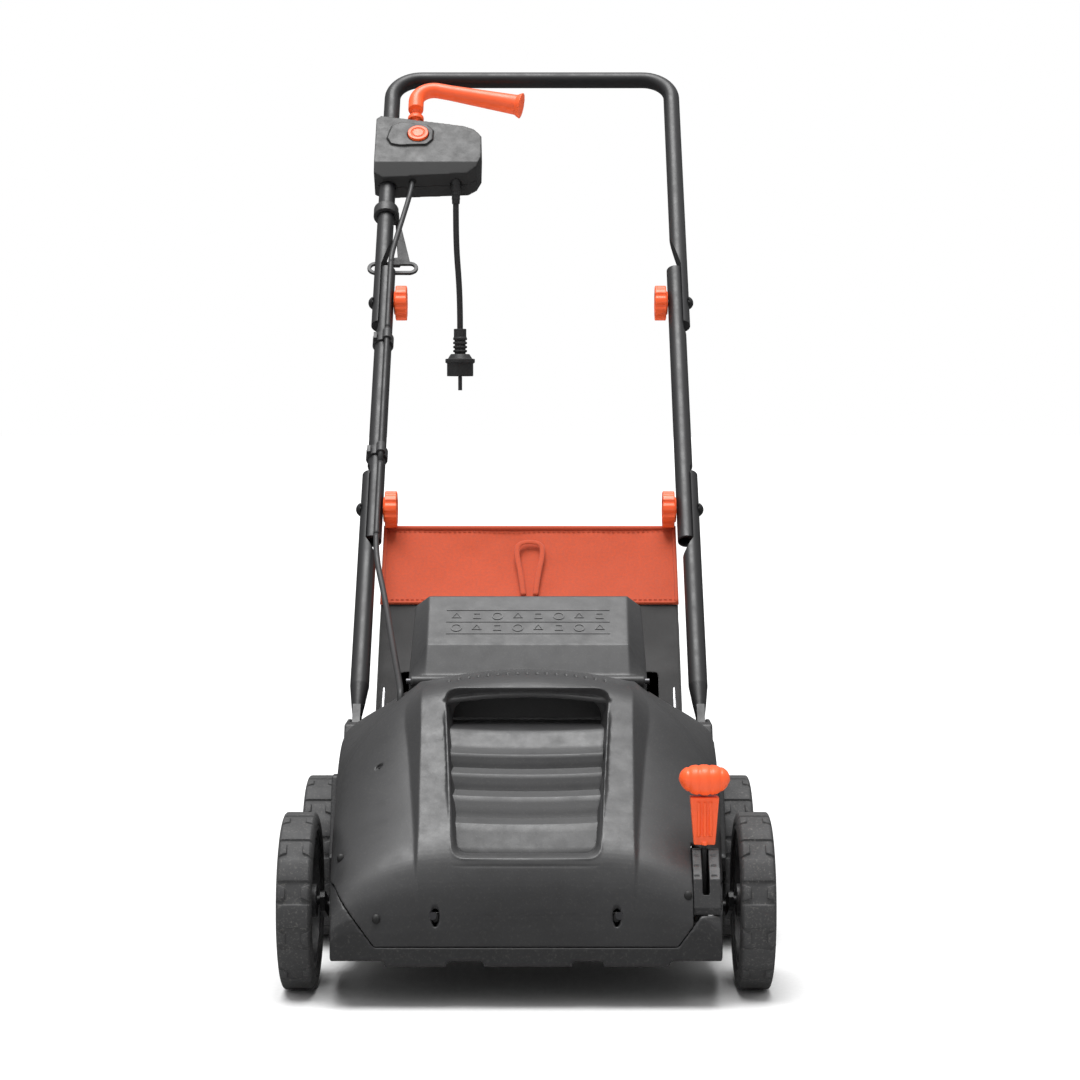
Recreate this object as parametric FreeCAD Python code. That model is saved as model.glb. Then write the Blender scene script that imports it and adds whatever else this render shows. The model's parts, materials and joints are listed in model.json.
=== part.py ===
"""Electric lawn dethatcher with a folding tube handle and a fabric collection bag. Millimetres.

Everything is built from the ground point below the front axle: X across the machine, Y towards the back,
Z up. export() moves it so that the origin is the middle of the base.
"""
import FreeCAD, Part
import math
import os
from FreeCAD import Vector as V

# ---- whole machine
ORIGIN_SHIFT_Y = -488.2          # front axle to the middle of the footprint
WHEELBASE = 280.0
WHEEL_R = 90.0
WHEEL_IN, WHEEL_OUT = 213.0, 249.0
AXLE_R = 5.0
RUN = 0.08                       # radial running clearance

# ---- folding handle
LEAN = 42.98                     # handle plane, degrees back from upright
FOOT_Y, FOOT_Z = 297.0, 224.0    # where the lower tubes leave the housing
TUBE_R, BORE_R = 11.0, 9.6
OUTER_X, MIDDLE_X = 194.0, 188.5  # axes of the lower/upper tubes and of the middle tubes
MATE_X = 196.0                   # plane where the flattened tube ends meet
LOWER_BOLT, UPPER_BOLT, BAR_S = 337.0, 691.0, 1133.0   # distances up the handle
LOWER_TOP, MIDDLE_BOTTOM, MIDDLE_TOP, UPPER_BOTTOM = 392.0, 287.0, 750.0, 649.0
BAR_CORNER = 39.5
BOLT_R = 4.0

# ---- housing
WALL = 4.0
SKIRT_Z = 48.0
SPLIT_Z = 62.0                   # seam between the hood and the chassis at the front
TUNNEL_X = 160.0
REAR_Y = 335.0
ROTOR_Y, ROTOR_Z, TINE_R = 150.0, 75.0, 62.0
MOTOR_Y, MOTOR_Z, MOTOR_R = 40.0, 140.0, 45.0
CRANK_Y, CRANK_Z, CRANK_R = 42.0, 76.0, 6.0
LEVER_X, LEVER_Y, LEVER_Z = 178.0, -57.0, 75.0
HINGE_Y, HINGE_Z = 168.0, 298.0

# ---- cables
CABLE_R, CORD_R = 3.5, 4.0
CABLE_X, CABLE_N = -183.0, -14.0  # machine cable beside the left tubes
CORD_Y = 921.0
PIN_R, PIN_ROOT_R, PIN_Y = 2.4, 2.0, 9.5

X, Z = V(1, 0, 0), V(0, 0, 1)
SIDES = (("left", -1), ("right", 1))


# ---- helpers
def box(x0, x1, y0, y1, z0, z1):
    return Part.makeBox(x1 - x0, y1 - y0, z1 - z0, V(x0, y0, z0))


def rod(p, q, r):
    p, q = V(*p), V(*q)
    return Part.makeCylinder(r, (q - p).Length, p, q - p)


def face(points):
    pts = [V(*p) for p in points]
    return Part.Face(Part.makePolygon(pts + [pts[0]]))


def prism_x(yz, x0, x1):
    return face([(x0, y, z) for y, z in yz]).extrude(V(x1 - x0, 0, 0))


def prism_y(xz, y0, y1):
    return face([(x, y0, z) for x, z in xz]).extrude(V(0, y1 - y0, 0))


def fuse(parts):
    parts = list(parts)
    return parts[0].multiFuse(parts[1:]).removeSplitter() if len(parts) > 1 else parts[0]


def mirror_x(shape):
    return shape.mirror(V(0, 0, 0), X)


def lean(shape):
    """Upright handle coordinates (x, behind, along) to the leaning handle."""
    shape = shape.copy()
    shape.rotate(V(0, 0, 0), X, -LEAN)
    shape.translate(V(0, FOOT_Y, FOOT_Z))
    return shape


def lean_point(x, behind, along):
    a = math.radians(LEAN)
    return (x, FOOT_Y + behind * math.cos(a) + along * math.sin(a),
            FOOT_Z - behind * math.sin(a) + along * math.cos(a))


def pipe(points, r, bends):
    """Round bar through points with tangent arcs of the given radii at the inner points."""
    pts = [V(*p) for p in points]
    edges, start = [], pts[0]
    for i in range(1, len(pts) - 1):
        a, b, c = pts[i - 1], pts[i], pts[i + 1]
        u, w = (a - b).normalize(), (c - b).normalize()
        bend = bends[i - 1] if isinstance(bends, (list, tuple)) else bends
        half = u.getAngle(w) / 2
        t = bend / math.tan(half)
        p, q = b + u * t, b + w * t
        centre = b + (u + w).normalize() * (bend / math.sin(half))
        mid = centre + (b - centre).normalize() * bend
        if (p - start).Length > 1e-4:
            edges.append(Part.LineSegment(start, p).toShape())
        edges.append(Part.Arc(p, mid, q).toShape())
        start = q
    edges.append(Part.LineSegment(start, pts[-1]).toShape())
    path = Part.Wire(edges)
    ring = Part.Wire(Part.makeCircle(r, pts[0], pts[1] - pts[0]))
    return path.makePipeShell([ring], True, True)


def ring(axis_p, axis_d, r_out, r_in, length):
    p, d = V(*axis_p), V(*axis_d)
    return Part.makeCylinder(r_out, length, p, d).cut(Part.makeCylinder(r_in, length, p, d))


def wheel_turn(shape, angle, y=0.0, z=0.0):
    shape = shape.copy()
    shape.rotate(V(0, y, z), X, angle)
    return shape


parts = {}


def add(name, shape):
    parts[name] = shape


# ---- housing shell: cross-sections from the nose to the back
# (y, half width, top of the side wall, half width of the middle band, its height, crown)
SECTIONS = ((-104, 193, 70, 107, 72, 1), (-102.5, 193.5, 78, 107, 98, 2), (-97, 194, 88, 107.5, 124, 3),
            (-84, 195, 100, 108, 150, 5), (-60, 196.5, 115, 108, 173, 6), (0, 199, 144, 110, 221, 7),
            (40, 200.5, 160, 111, 257, 8), (72, 201.5, 172, 112, 288, 12), (95, 202, 180, 111, 297, 15),
            (130, 203, 198, 106, 301, 13), (180, 203, 211, 108, 298, 12), (250, 203, 214, 112, 286, 12))


def shell(inset):
    wires = []
    rows = [list(s) for s in SECTIONS]
    for row, share in zip(rows, (1.0, 0.9, 0.5, 0.3)):
        row[0] += inset * share
    rows[-1][0] -= inset
    for y, w, side, band, top, crown in rows:
        w, side, band, top = w - inset, side - inset * 0.7, band - inset * 0.4, top - inset
        low = SKIRT_Z - (20 if inset else 0)
        bulge = 0.10 * (w - band)
        mx, mz = (w + band) / 2 + bulge * 0.6, (side + top) / 2 + bulge * 0.8
        arc = [V(-w, y, side), V(-mx, y, mz), V(-band, y, top), V(-band * 0.5, y, top + crown * 0.8),
               V(0, y, top + crown), V(band * 0.5, y, top + crown * 0.8), V(band, y, top),
               V(mx, y, mz), V(w, y, side)]
        curve = Part.BSplineCurve()
        curve.interpolate(arc)
        wires.append(Part.Wire([Part.LineSegment(V(-w, y, low), V(-w, y, side)).toShape(), curve.toShape(),
                                Part.LineSegment(V(w, y, side), V(w, y, low)).toShape(),
                                Part.LineSegment(V(w, y, low), V(-w, y, low)).toShape()]))
    return Part.makeLoft(wires, True, True)


outer = shell(0.0)
skin = outer.cut(shell(WALL))
below = prism_y([(-230, 20), (230, 20), (230, 118), (192, 118), (150, SPLIT_Z), (-150, SPLIT_Z),
                 (-192, 118), (-230, 118)], -120, 260)
seam = prism_y([(-230, 20), (230, 20), (230, 118.6), (191.8, 118.6), (149.7, SPLIT_Z + 0.6),
                (-149.7, SPLIT_Z + 0.6), (-191.8, 118.6), (-230, 118.6)], -120, 260)
skirt = skin.common(below)
hood = skin.cut(seam)

# hood: opening for the louvre panel and the carrying arch, flap gap, lever pod opening, vents
hood = hood.cut(prism_y([(-76, 146), (76, 146), (87, 288), (80, 296), (-80, 296), (-87, 288)], -140, 66))
hood = hood.cut(box(-131, 131, 160, 270, 120, 340))
hood = hood.cut(box(165, 193, -120, -44, 40, 180))
hood = hood.cut(box(-131, 131, 240, 270, 40, 340)).cut(box(-190, 190, 244, 252, 40, 232))
vents = [rod((-82.5 + 10.3 * i, y, 295), (-82.5 + 10.3 * i, y, 330), 1.6) for i in range(17)
         for y in (104, 110, 116)]
hood = hood.cut(fuse(vents[:1]).multiFuse(vents[1:]))
hood = hood.cut(rod((-137, 152, 250), (-137, 152, 330), CABLE_R + 1.0))
teardrops = [rod((s * 92, -110, 93), (s * 92, -101.5, 93), 4.2) for s in (-1, 1)]
hood = hood.cut(teardrops[0]).cut(teardrops[1])
lug = prism_x([(158, 262), (176, 262), (176, 291), (174, 303), (164, 305), (156, 302)], 127.5, 131.4)
hood = hood.fuse(lug).fuse(mirror_x(lug)).cut(rod((-140, HINGE_Y, HINGE_Z), (140, HINGE_Y, HINGE_Z), 3.0))
hood = hood.removeSplitter()

# chassis
side_post = prism_x([(250.3, SKIRT_Z), (REAR_Y, SKIRT_Z), (REAR_Y, 205), (320, 240), (266, 240), (250.3, 216)],
                    186, 206)
side_post = side_post.cut(lean(box(189.6, 200.3, -16, 16, -46, 60)))
flare = prism_x([(105, 108), (120, 100), (180, 100), (180, 196), (150, 198)], 203.05, 211)
flare = flare.fuse(box(196, 211, 106, 180, 102, 117))
arch = ring((-TUNNEL_X, ROTOR_Y, ROTOR_Z), (1, 0, 0), 73.0, 70.0, 2 * TUNNEL_X)
arch = arch.common(fuse([box(-TUNNEL_X, TUNNEL_X, 70, 150, ROTOR_Z, 160),
                         prism_x([(150, 75), (195.6, 129.2), (195.6, 160), (150, 160)], -TUNNEL_X, TUNNEL_X)]))
chute = prism_x([(193.8, 127.2), (197, 130), (178, 284), (175, 284)], -TUNNEL_X, TUNNEL_X)
ramp = prism_x([(220, SKIRT_Z), (224, SKIRT_Z), (REAR_Y, 84), (REAR_Y, 88)], -TUNNEL_X, TUNNEL_X)
wall = prism_x([(60, SKIRT_Z), (REAR_Y, SKIRT_Z), (REAR_Y, 236), (178, 236), (170, 160),
                (70, 160), (60, 120)], TUNNEL_X, TUNNEL_X + 3)
deck = box(-190.5, 190.5, -98, 76, 60, 63)
side_deck = box(TUNNEL_X + 2, 190.5, 60, REAR_Y, 60, 63)
shoulder = box(137, 190, 250.3, REAR_Y - 10, 236, 239)
boss = ring((TUNNEL_X + 2.5, ROTOR_Y, ROTOR_Z), (1, 0, 0), 19.0, 15.0, 12.0)
saddle = box(30, 36, MOTOR_Y - 40, MOTOR_Y + 34, 62, MOTOR_Z - 12)
saddle = saddle.cut(rod((0, MOTOR_Y, MOTOR_Z), (60, MOTOR_Y, MOTOR_Z), MOTOR_R))
saddle = saddle.cut(rod((0, CRANK_Y, CRANK_Z), (60, CRANK_Y, CRANK_Z), CRANK_R + 1.0))
lever_yoke = prism_x([(-66, 66), (-48, 66), (-48, 86), (-66, 86)], 164, 168)
lever_yoke = lever_yoke.fuse(box(160, 168, -66, -30, 60, 67))
tabs = [box(a, b, -104, -100, 42, SKIRT_Z + 1) for a, b in ((-140, -78), (-42, 46), (76, 142))]
one_side = [side_post, flare, side_deck, shoulder, saddle, wall]
chassis = fuse([skirt, arch, chute, ramp, deck] + one_side + [mirror_x(s) for s in one_side]
               + [boss, mirror_x(boss), lever_yoke] + tabs)
for _, s in SIDES:
    chassis = chassis.cut(rod((s * 155, ROTOR_Y, ROTOR_Z), (s * 175, ROTOR_Y, ROTOR_Z), 15.0))
    chassis = chassis.cut(rod((s * 150, CRANK_Y, CRANK_Z), (s * 212, CRANK_Y, CRANK_Z), CRANK_R + RUN))
    chassis = chassis.cut(rod((s * 184, WHEELBASE, WHEEL_R), (s * 212, WHEELBASE, WHEEL_R), AXLE_R))
    chassis = chassis.cut(lean(rod((s * 180, 0, -18), (s * 214, 0, -18), 3.5)))
chassis = chassis.cut(rod((160, LEVER_Y, LEVER_Z), (174, LEVER_Y, LEVER_Z), 4.0))
chassis = chassis.cut(box(-192, -173, 110, 190, 58, 66))
chassis = chassis.cut(box(165.2, 192.8, -120, -49.7, 92.7, 125))
for _, s in SIDES:
    chassis = chassis.cut(box(min(s * 130.6, s * 170), max(s * 130.6, s * 170), 165, 200, 236, 290))
chassis = chassis.cut(box(168.5, 187.5, -99, -44, 59, 64)).cut(hood).removeSplitter()
add("chassis", chassis)
add("hood", hood)

# ---- louvre panel with slats, and the pocket behind the carrying arch
slat_n = 5
u = V(0, 118, 113).normalize()
start = V(0, -72, 147)
outline = [(-78, 143), (-72, 147)]
step = V(0, 118, 113).Length / slat_n
for i in range(slat_n):
    a = start + u * (step * i)
    b = start + u * (step * (i + 1))
    outline += [(a.y + 1.5, a.z - 1.0), (b.y - 3.5, b.z + 2.5)]
outline += [(48, 262), (104, 266), (104, 300), (107, 300), (107, 262), (49, 256), (-72, 140)]
panel = prism_x(outline, -90, 90)
panel = panel.common(prism_y([(-73, 130), (73, 130), (83.5, 288), (83.5, 310), (-83.5, 310), (-83.5, 288)],
                             -120, 130))
add("louvre_panel", panel)

# ---- rear flap: (y, top, half width at the chamfer's foot, height of that foot, bottom edge)
FLAP_ROWS = ((166, 300, 129.5, 296, 272), (190, 336, 130, 300, 268), (258, 384.5, 125.5, 373, 268),
             (385, 300, 126, 294, 276))
FLAP_TOP_X = 110.0


def flap_solid(inset):
    wires = []
    for i, (y, top, foot, foot_z, low) in enumerate(FLAP_ROWS):
        y += inset * (1, 0.6, 0, -1)[i]
        low -= 20 if inset else 0
        top, foot, foot_z, x = top - inset * 1.25, foot - inset, foot_z - inset * 0.4, FLAP_TOP_X - inset * 0.5
        outline = [(-foot + 2, low), (-foot, foot_z), (-x, top), (x, top), (foot, foot_z), (foot - 2, low)]
        wires.append(Part.makePolygon([V(px, y, pz) for px, pz in outline + outline[:1]]))
    return Part.makeLoft(wires, True, True)


flap = flap_solid(0.0).cut(flap_solid(3.0))
flap = flap.fuse(ring((-127, HINGE_Y, HINGE_Z), (1, 0, 0), 6.0, 3.0 + RUN, 254))
flap = flap.cut(box(-140, 140, 150, 181, 250, 288))
flap = flap.cut(box(-140, -127.1, 150, 180, 250, 307)).cut(box(127.1, 140, 150, 180, 250, 307))
flap = flap.cut(rod((-140, HINGE_Y, HINGE_Z), (140, HINGE_Y, HINGE_Z), 3.0 + RUN)).removeSplitter()
add("rear_flap", flap)
add("flap_pin", rod((-131.4, HINGE_Y, HINGE_Z), (131.4, HINGE_Y, HINGE_Z), 3.0))

# ---- depth lever, grip and scale pod
pod_out = prism_x([(-98, 93), (-98, 100), (-88, 127), (-62, 152), (-50, 152), (-50, 93)], 165.5, 192.5)
pod_in = prism_x([(-95.5, 80), (-95.5, 99), (-86, 125), (-61, 149.5), (-52.5, 149.5), (-52.5, 80)], 168, 190)
slot = box(LEVER_X - 3.4, LEVER_X + 3.4, -93, -51, 96, 160)
pod = pod_out.cut(pod_in).cut(slot)
for i in range(3):
    y = -85 + 9 * i
    for s in (-1, 1):
        mark = box(LEVER_X + s * 8.5 - 3, LEVER_X + s * 8.5 + 3, y - 0.8, y + 0.8, 120, 160)
        pod = pod.cut(mark.common(prism_x([(-98, 100), (-88, 127), (-62, 152), (-62, 151.2), (-87.4, 126.4),
                                           (-97.4, 100)], 165, 193)))
add("depth_scale_pod", pod)
blade = box(LEVER_X - 2.6, LEVER_X + 2.6, -65, -49, 75, 160).fuse(rod((172.2, LEVER_Y, LEVER_Z),
                                                                  (183, LEVER_Y, LEVER_Z), 10))
blade = blade.cut(box(170, 185, -53.2, -46, 84, 154)).cut(box(170, 185, -67, -62.2, 84, 154))
stem = Part.makeLoft([Part.makePolygon([V(x, y, z) for x, y in ((LEVER_X - w, -57 - d), (LEVER_X + w, -57 - d),
                                        (LEVER_X + w, -57 + d), (LEVER_X - w, -57 + d), (LEVER_X - w, -57 - d))])
                      for z, w, d in ((157, 10.6, 6), (166, 11.4, 7), (205, 14.5, 8))], True, True)
ribs = [box(LEVER_X + dx - 1.2, LEVER_X + dx + 1.2, -66.2, -60, 166, 200) for dx in (-6, 0, 6)]
lever = fuse([blade, stem, rod((162, LEVER_Y, LEVER_Z), (175, LEVER_Y, LEVER_Z), 4.0 - RUN)] + ribs)
add("depth_lever", lever)
grip = fuse([rod((LEVER_X + dx, -76 + abs(dx) * 0.25, z), (LEVER_X + dx, -38 - abs(dx) * 0.25, z), r)
             for dx, z, r in ((-17, 217, 8.5), (-8.5, 222, 11), (0, 224, 12.5), (8.5, 222, 11), (17, 217, 8.5))])
grip = grip.cut(box(150, 206, -80, -34, 190, 206))
add("depth_grip", grip)

# ---- front axle crank and rear stub axles
arm = prism_x([(-9, 84), (-4, 80), (38, 66), (46, 66), (51, 72), (50, 81), (42, 86), (4, 99), (-5, 99), (-9, 95)], 206, 211)
half = [arm, rod((206, 0, WHEEL_R), (240, 0, WHEEL_R), AXLE_R), rod((240, 0, WHEEL_R), (243, 0, WHEEL_R), 8)]
crank = fuse([rod((-210, CRANK_Y, CRANK_Z), (210, CRANK_Y, CRANK_Z), CRANK_R)] + half
             + [mirror_x(s) for s in half])
add("front_axle_crank", crank)
stub = fuse([rod((187, WHEELBASE, WHEEL_R), (240, WHEELBASE, WHEEL_R), AXLE_R),
             rod((240, WHEELBASE, WHEEL_R), (243, WHEELBASE, WHEEL_R), 8)])
add("rear_axles", Part.makeCompound([stub, mirror_x(stub)]))

# ---- wheels
TREAD_N, RIM_R = 12, 70.0
tyre = ring((WHEEL_IN, 0, 0), (1, 0, 0), 88.0, RIM_R, WHEEL_OUT - WHEEL_IN)
tread = ring((WHEEL_IN, 0, 0), (1, 0, 0), WHEEL_R, 87.5, WHEEL_OUT - WHEEL_IN)


def sector(a0, a1, x0, x1, r=120.0):
    p = [(0, 0)] + [(r * math.cos(math.radians(a)), r * math.sin(math.radians(a))) for a in (a0, a1)]
    return prism_x(p, x0, x1)


blocks = []
for i in range(TREAD_N):
    a = -90 + 30 * i
    blocks.append(sector(a - 7.5, a + 7.5, WHEEL_IN, WHEEL_OUT))
    blocks.append(sector(a + 9.5, a + 20.5, WHEEL_IN, WHEEL_IN + 10))
    blocks.append(sector(a + 9.5, a + 20.5, WHEEL_OUT - 10, WHEEL_OUT))
tread = tread.common(Part.makeCompound(blocks))
tyre = tyre.multiFuse(tread.Solids)
mid = (WHEEL_IN + WHEEL_OUT) / 2
rim = [ring((WHEEL_IN + 3, 0, 0), (1, 0, 0), RIM_R, 63.0, WHEEL_OUT - WHEEL_IN - 6),
       ring((WHEEL_IN + 1, 0, 0), (1, 0, 0), 17.0, AXLE_R + RUN, 25.5),
       ring((mid - 2, 0, 0), (1, 0, 0), 26.0, 12.0, 4)]
for i in range(6):
    rim.append(wheel_turn(box(mid - 4, mid + 4, -5, 5, 15, 65), 60 * i))
rim = fuse(rim).cut(rod((WHEEL_IN, 0, 0), (mid + 10, 0, 0), AXLE_R + RUN))
cap = fuse([rod((244, 0, 0), (246.5, 0, 0), 16), ring((239, 0, 0), (1, 0, 0), 16.0, 13.5, 6)])
cap = fuse([cap] + [wheel_turn(box(239, 246, -3, 3, 15, 64.0).cut(box(238, 242, -4, 4, 17, 62)), 60 * i + 30)
                    for i in range(6)])
for end, y in (("front", 0.0), ("rear", WHEELBASE)):
    for side, s in SIDES:
        for name, shape in (("tyre", tyre), ("rim", Part.makeCompound([rim, cap]))):
            shape = shape.copy() if s > 0 else mirror_x(shape)
            shape.translate(V(0, y, WHEEL_R))
            add("%s_%s_%s" % (name, end, side), shape)

# ---- drive
can = fuse([rod((-62, MOTOR_Y, MOTOR_Z), (84, MOTOR_Y, MOTOR_Z), MOTOR_R - 0.2),
            rod((-70, MOTOR_Y, MOTOR_Z), (-60, MOTOR_Y, MOTOR_Z), 30),
            rod((84, MOTOR_Y, MOTOR_Z), (94, MOTOR_Y, MOTOR_Z), 22)])
can = can.cut(rod((-80, MOTOR_Y, MOTOR_Z), (70, MOTOR_Y, MOTOR_Z), 8 + RUN))
add("motor_body", can)
add("motor_shaft", rod((-190, MOTOR_Y, MOTOR_Z), (60, MOTOR_Y, MOTOR_Z), 8))
fan = [ring((-90, MOTOR_Y, MOTOR_Z), (1, 0, 0), 14, 8.0, 14)]
for i in range(9):
    b = box(-88, -78, MOTOR_Y - 1.2, MOTOR_Y + 1.2, MOTOR_Z + 12, MOTOR_Z + 40)
    fan.append(wheel_turn(b, 40 * i, MOTOR_Y, MOTOR_Z))
add("cooling_fan", fuse(fan))


def pulley(y, z, r, bore):
    body = fuse([rod((-188, y, z), (-176, y, z), r), rod((-189, y, z), (-187.6, y, z), r + 5),
                 rod((-176.4, y, z), (-175, y, z), r + 5)])
    return body.cut(rod((-191, y, z), (-174, y, z), bore))


P_MOTOR, P_ROTOR = 14.0, 28.0
add("motor_pulley", pulley(MOTOR_Y, MOTOR_Z, P_MOTOR, 8.0))
add("rotor_pulley", pulley(ROTOR_Y, ROTOR_Z, P_ROTOR, 8.0))


def belt_loop(grow, x0, x1):
    """Belt outline round both pulleys."""
    dy, dz = ROTOR_Y - MOTOR_Y, ROTOR_Z - MOTOR_Z
    d = math.hypot(dy, dz)
    a = math.atan2(dz, dy)
    b = math.acos((P_MOTOR - P_ROTOR) / d)
    r1, r2 = P_MOTOR + grow, P_ROTOR + grow
    pts = []
    for s in (1, -1):
        c, n = math.cos(a + s * b), math.sin(a + s * b)
        pts.append([(MOTOR_Y + r1 * c, MOTOR_Z + r1 * n), (ROTOR_Y + r2 * c, ROTOR_Z + r2 * n)])
    quad = prism_x([pts[0][0], pts[0][1], pts[1][1], pts[1][0]], x0, x1)
    return fuse([quad, rod((x0, MOTOR_Y, MOTOR_Z), (x1, MOTOR_Y, MOTOR_Z), r1),
                 rod((x0, ROTOR_Y, ROTOR_Z), (x1, ROTOR_Y, ROTOR_Z), r2)])


add("drive_belt", belt_loop(4.0, -187.2, -176.8).cut(belt_loop(0.3, -188, -176)))
rotor = fuse([rod((-190, ROTOR_Y, ROTOR_Z), (178, ROTOR_Y, ROTOR_Z), 8),
              rod((-152, ROTOR_Y, ROTOR_Z), (152, ROTOR_Y, ROTOR_Z), 18)])
add("rotor_shaft", rotor)
tines = []
for i in range(14):
    x = -143 + 22 * i
    for k in (0, 2) if i % 2 else (1, 3):
        tine = pipe([(x, ROTOR_Y, ROTOR_Z + 18), (x, ROTOR_Y, ROTOR_Z + 46), (x, ROTOR_Y + 6, ROTOR_Z + TINE_R - 1)],
                    1.6, 6.0)
        tines.append(wheel_turn(tine, 90 * k + 20, ROTOR_Y, ROTOR_Z))
add("spring_tines", Part.makeCompound(tines))
bearing = ring((TUNNEL_X + 1, ROTOR_Y, ROTOR_Z), (1, 0, 0), 15.0, 8.0 + RUN, 11)
add("rotor_bearings", Part.makeCompound([bearing, mirror_x(bearing)]))

# ---- handle tubes, upright until lean()
outer_cut = prism_y([(170, 262), (183, 262), (MATE_X + 0.05, 285), (MATE_X + 0.05, 420), (170, 420)], -20, 20)
paddle = Part.makeLoft([Part.Wire(Part.makeCircle(TUBE_R, V(OUTER_X, 0, 69), Z)),
                        Part.Wire(Part.makeCircle(8.0, V(OUTER_X + 0.5, 0, 44), Z)),
                        Part.Wire(Part.makeCircle(4.6, V(OUTER_X + 1, 0, 20), Z))], True, True)
blade_flat = box(OUTER_X - 3.4, OUTER_X + 5.4, -13.5, 13.5, -40, 34)
lower = rod((OUTER_X, 0, 69), (OUTER_X, 0, LOWER_TOP), TUBE_R).cut(rod((OUTER_X, 0, 75), (OUTER_X, 0, 258), BORE_R))
lower = lower.cut(outer_cut)
lower = fuse([lower, paddle, blade_flat])
lower = lower.cut(rod((180, 0, LOWER_BOLT), (215, 0, LOWER_BOLT), BOLT_R + 0.05))
lower = lower.cut(rod((180, 0, -18), (215, 0, -18), 3.5))
middle = rod((MIDDLE_X, 0, MIDDLE_BOTTOM), (MIDDLE_X, 0, MIDDLE_TOP), TUBE_R)
middle = middle.cut(prism_y([(MATE_X - 0.2, 280), (MATE_X - 0.2, 402), (210, 422), (210, 280)], -20, 20))
middle = middle.cut(prism_y([(MATE_X - 0.2, 760), (MATE_X - 0.2, 638), (210, 618), (210, 760)], -20, 20))
middle = middle.cut(rod((MIDDLE_X, 0, 428), (MIDDLE_X, 0, 612), BORE_R))
for a, b in ((MIDDLE_BOTTOM - 1, 326), (704, MIDDLE_TOP + 1)):
    middle = middle.cut(rod((186.3, 0, a), (186.3, 0, b), 7.2))
for s in (LOWER_BOLT, UPPER_BOLT):
    middle = middle.cut(rod((170, 0, s), (215, 0, s), BOLT_R + 0.05))
for side, s in SIDES:
    add("lower_tube_" + side, lean(lower if s > 0 else mirror_x(lower)))
    add("middle_tube_" + side, lean(middle if s > 0 else mirror_x(middle)))
handle = pipe([(-OUTER_X, 0, UPPER_BOTTOM), (-OUTER_X, 0, BAR_S), (OUTER_X, 0, BAR_S),
               (OUTER_X, 0, UPPER_BOTTOM)], TUBE_R, BAR_CORNER)
hollow = pipe([(-OUTER_X, 0, 814), (-OUTER_X, 0, BAR_S), (OUTER_X, 0, BAR_S), (OUTER_X, 0, 814)],
              BORE_R, BAR_CORNER)
upper_cut = prism_y([(170, 809), (183, 809), (MATE_X + 0.05, 754), (MATE_X + 0.05, 640), (170, 640)], -20, 20)
handle = handle.cut(hollow).cut(upper_cut).cut(mirror_x(upper_cut))
handle = handle.cut(rod((-215, 0, UPPER_BOLT), (215, 0, UPPER_BOLT), BOLT_R + 0.05))
add("upper_handle", lean(handle))

# ---- fold bolts, foot screws and star knobs
for name, s in (("lower", LOWER_BOLT), ("upper", UPPER_BOLT)):
    head = Part.makeSphere(9.0, V(201.5, 0, s)).common(box(205, 212, -10, 10, s - 10, s + 10))
    bolt = fuse([rod((162, 0, s), (206, 0, s), BOLT_R), head])
    add(name + "_fold_bolts", Part.makeCompound([lean(bolt), lean(mirror_x(bolt))]))
    knob = rod((160.5, 0, s), (177, 0, s), 22.5)
    for i in range(10):
        a = math.radians(36 * i)
        knob = knob.cut(rod((160, 25.2 * math.sin(a), s + 25.2 * math.cos(a)),
                            (178, 25.2 * math.sin(a), s + 25.2 * math.cos(a)), 4.6))
    knob = knob.cut(ring((175, 0, s), (1, 0, 0), 30.0, 15.0, 3)).cut(rod((155, 0, s), (180, 0, s), BOLT_R + RUN))
    knob = knob.cut(ring((160, 0, s), (1, 0, 0), 12.0, 8.0, 3)).removeSplitter()
    for side, sx in SIDES:
        add("knob_%s_%s" % (name, side), lean(knob if sx > 0 else mirror_x(knob)))
screw = fuse([rod((188, 0, -18), (207, 0, -18), 3.4), rod((206.1, 0, -18), (209, 0, -18), 7)])
add("foot_screws", Part.makeCompound([lean(screw), lean(mirror_x(screw))]))

# ---- switch box, upright until lean()
BOX_XS = [(-212, 1020), (-206, 1026), (-92, 1005), (-78, 998), (-68, 984), (-68, 942), (-74, 926), (-86, 917),
          (-200, 911), (-212, 918)]
BOX_FRONT, BOX_BACK = -28.0, 20.0
LEVER_PIVOT = (-159.0, 995.0)


def inset(points, d):
    cx, cz = -140.0, 966.0
    return [(cx + (x - cx) * (1 - d / 72.0), cz + (z - cz) * (1 - d / 52.0)) for x, z in points]


chamfer_keep = face([(-220, BOX_FRONT + 2, 938), (-220, BOX_FRONT + 16, 905), (-220, BOX_FRONT - 1, 905),
                     (-220, BOX_FRONT - 1, 938)]).extrude(V(160, 0, 0))


def half_box(y0, y1, wall_y):
    body = prism_y(BOX_XS, y0, y1)
    cavity = prism_y(inset(BOX_XS, 3.0), *wall_y).cut(chamfer_keep)
    tube_sleeve = rod((-OUTER_X, 0, 905), (-OUTER_X, 0, 1030), 13.5).common(prism_y(BOX_XS, y0, y1))
    body = body.cut(cavity).fuse(tube_sleeve)
    return body.cut(rod((-OUTER_X, 0, 900), (-OUTER_X, 0, 1040), TUBE_R + 0.1))


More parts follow.
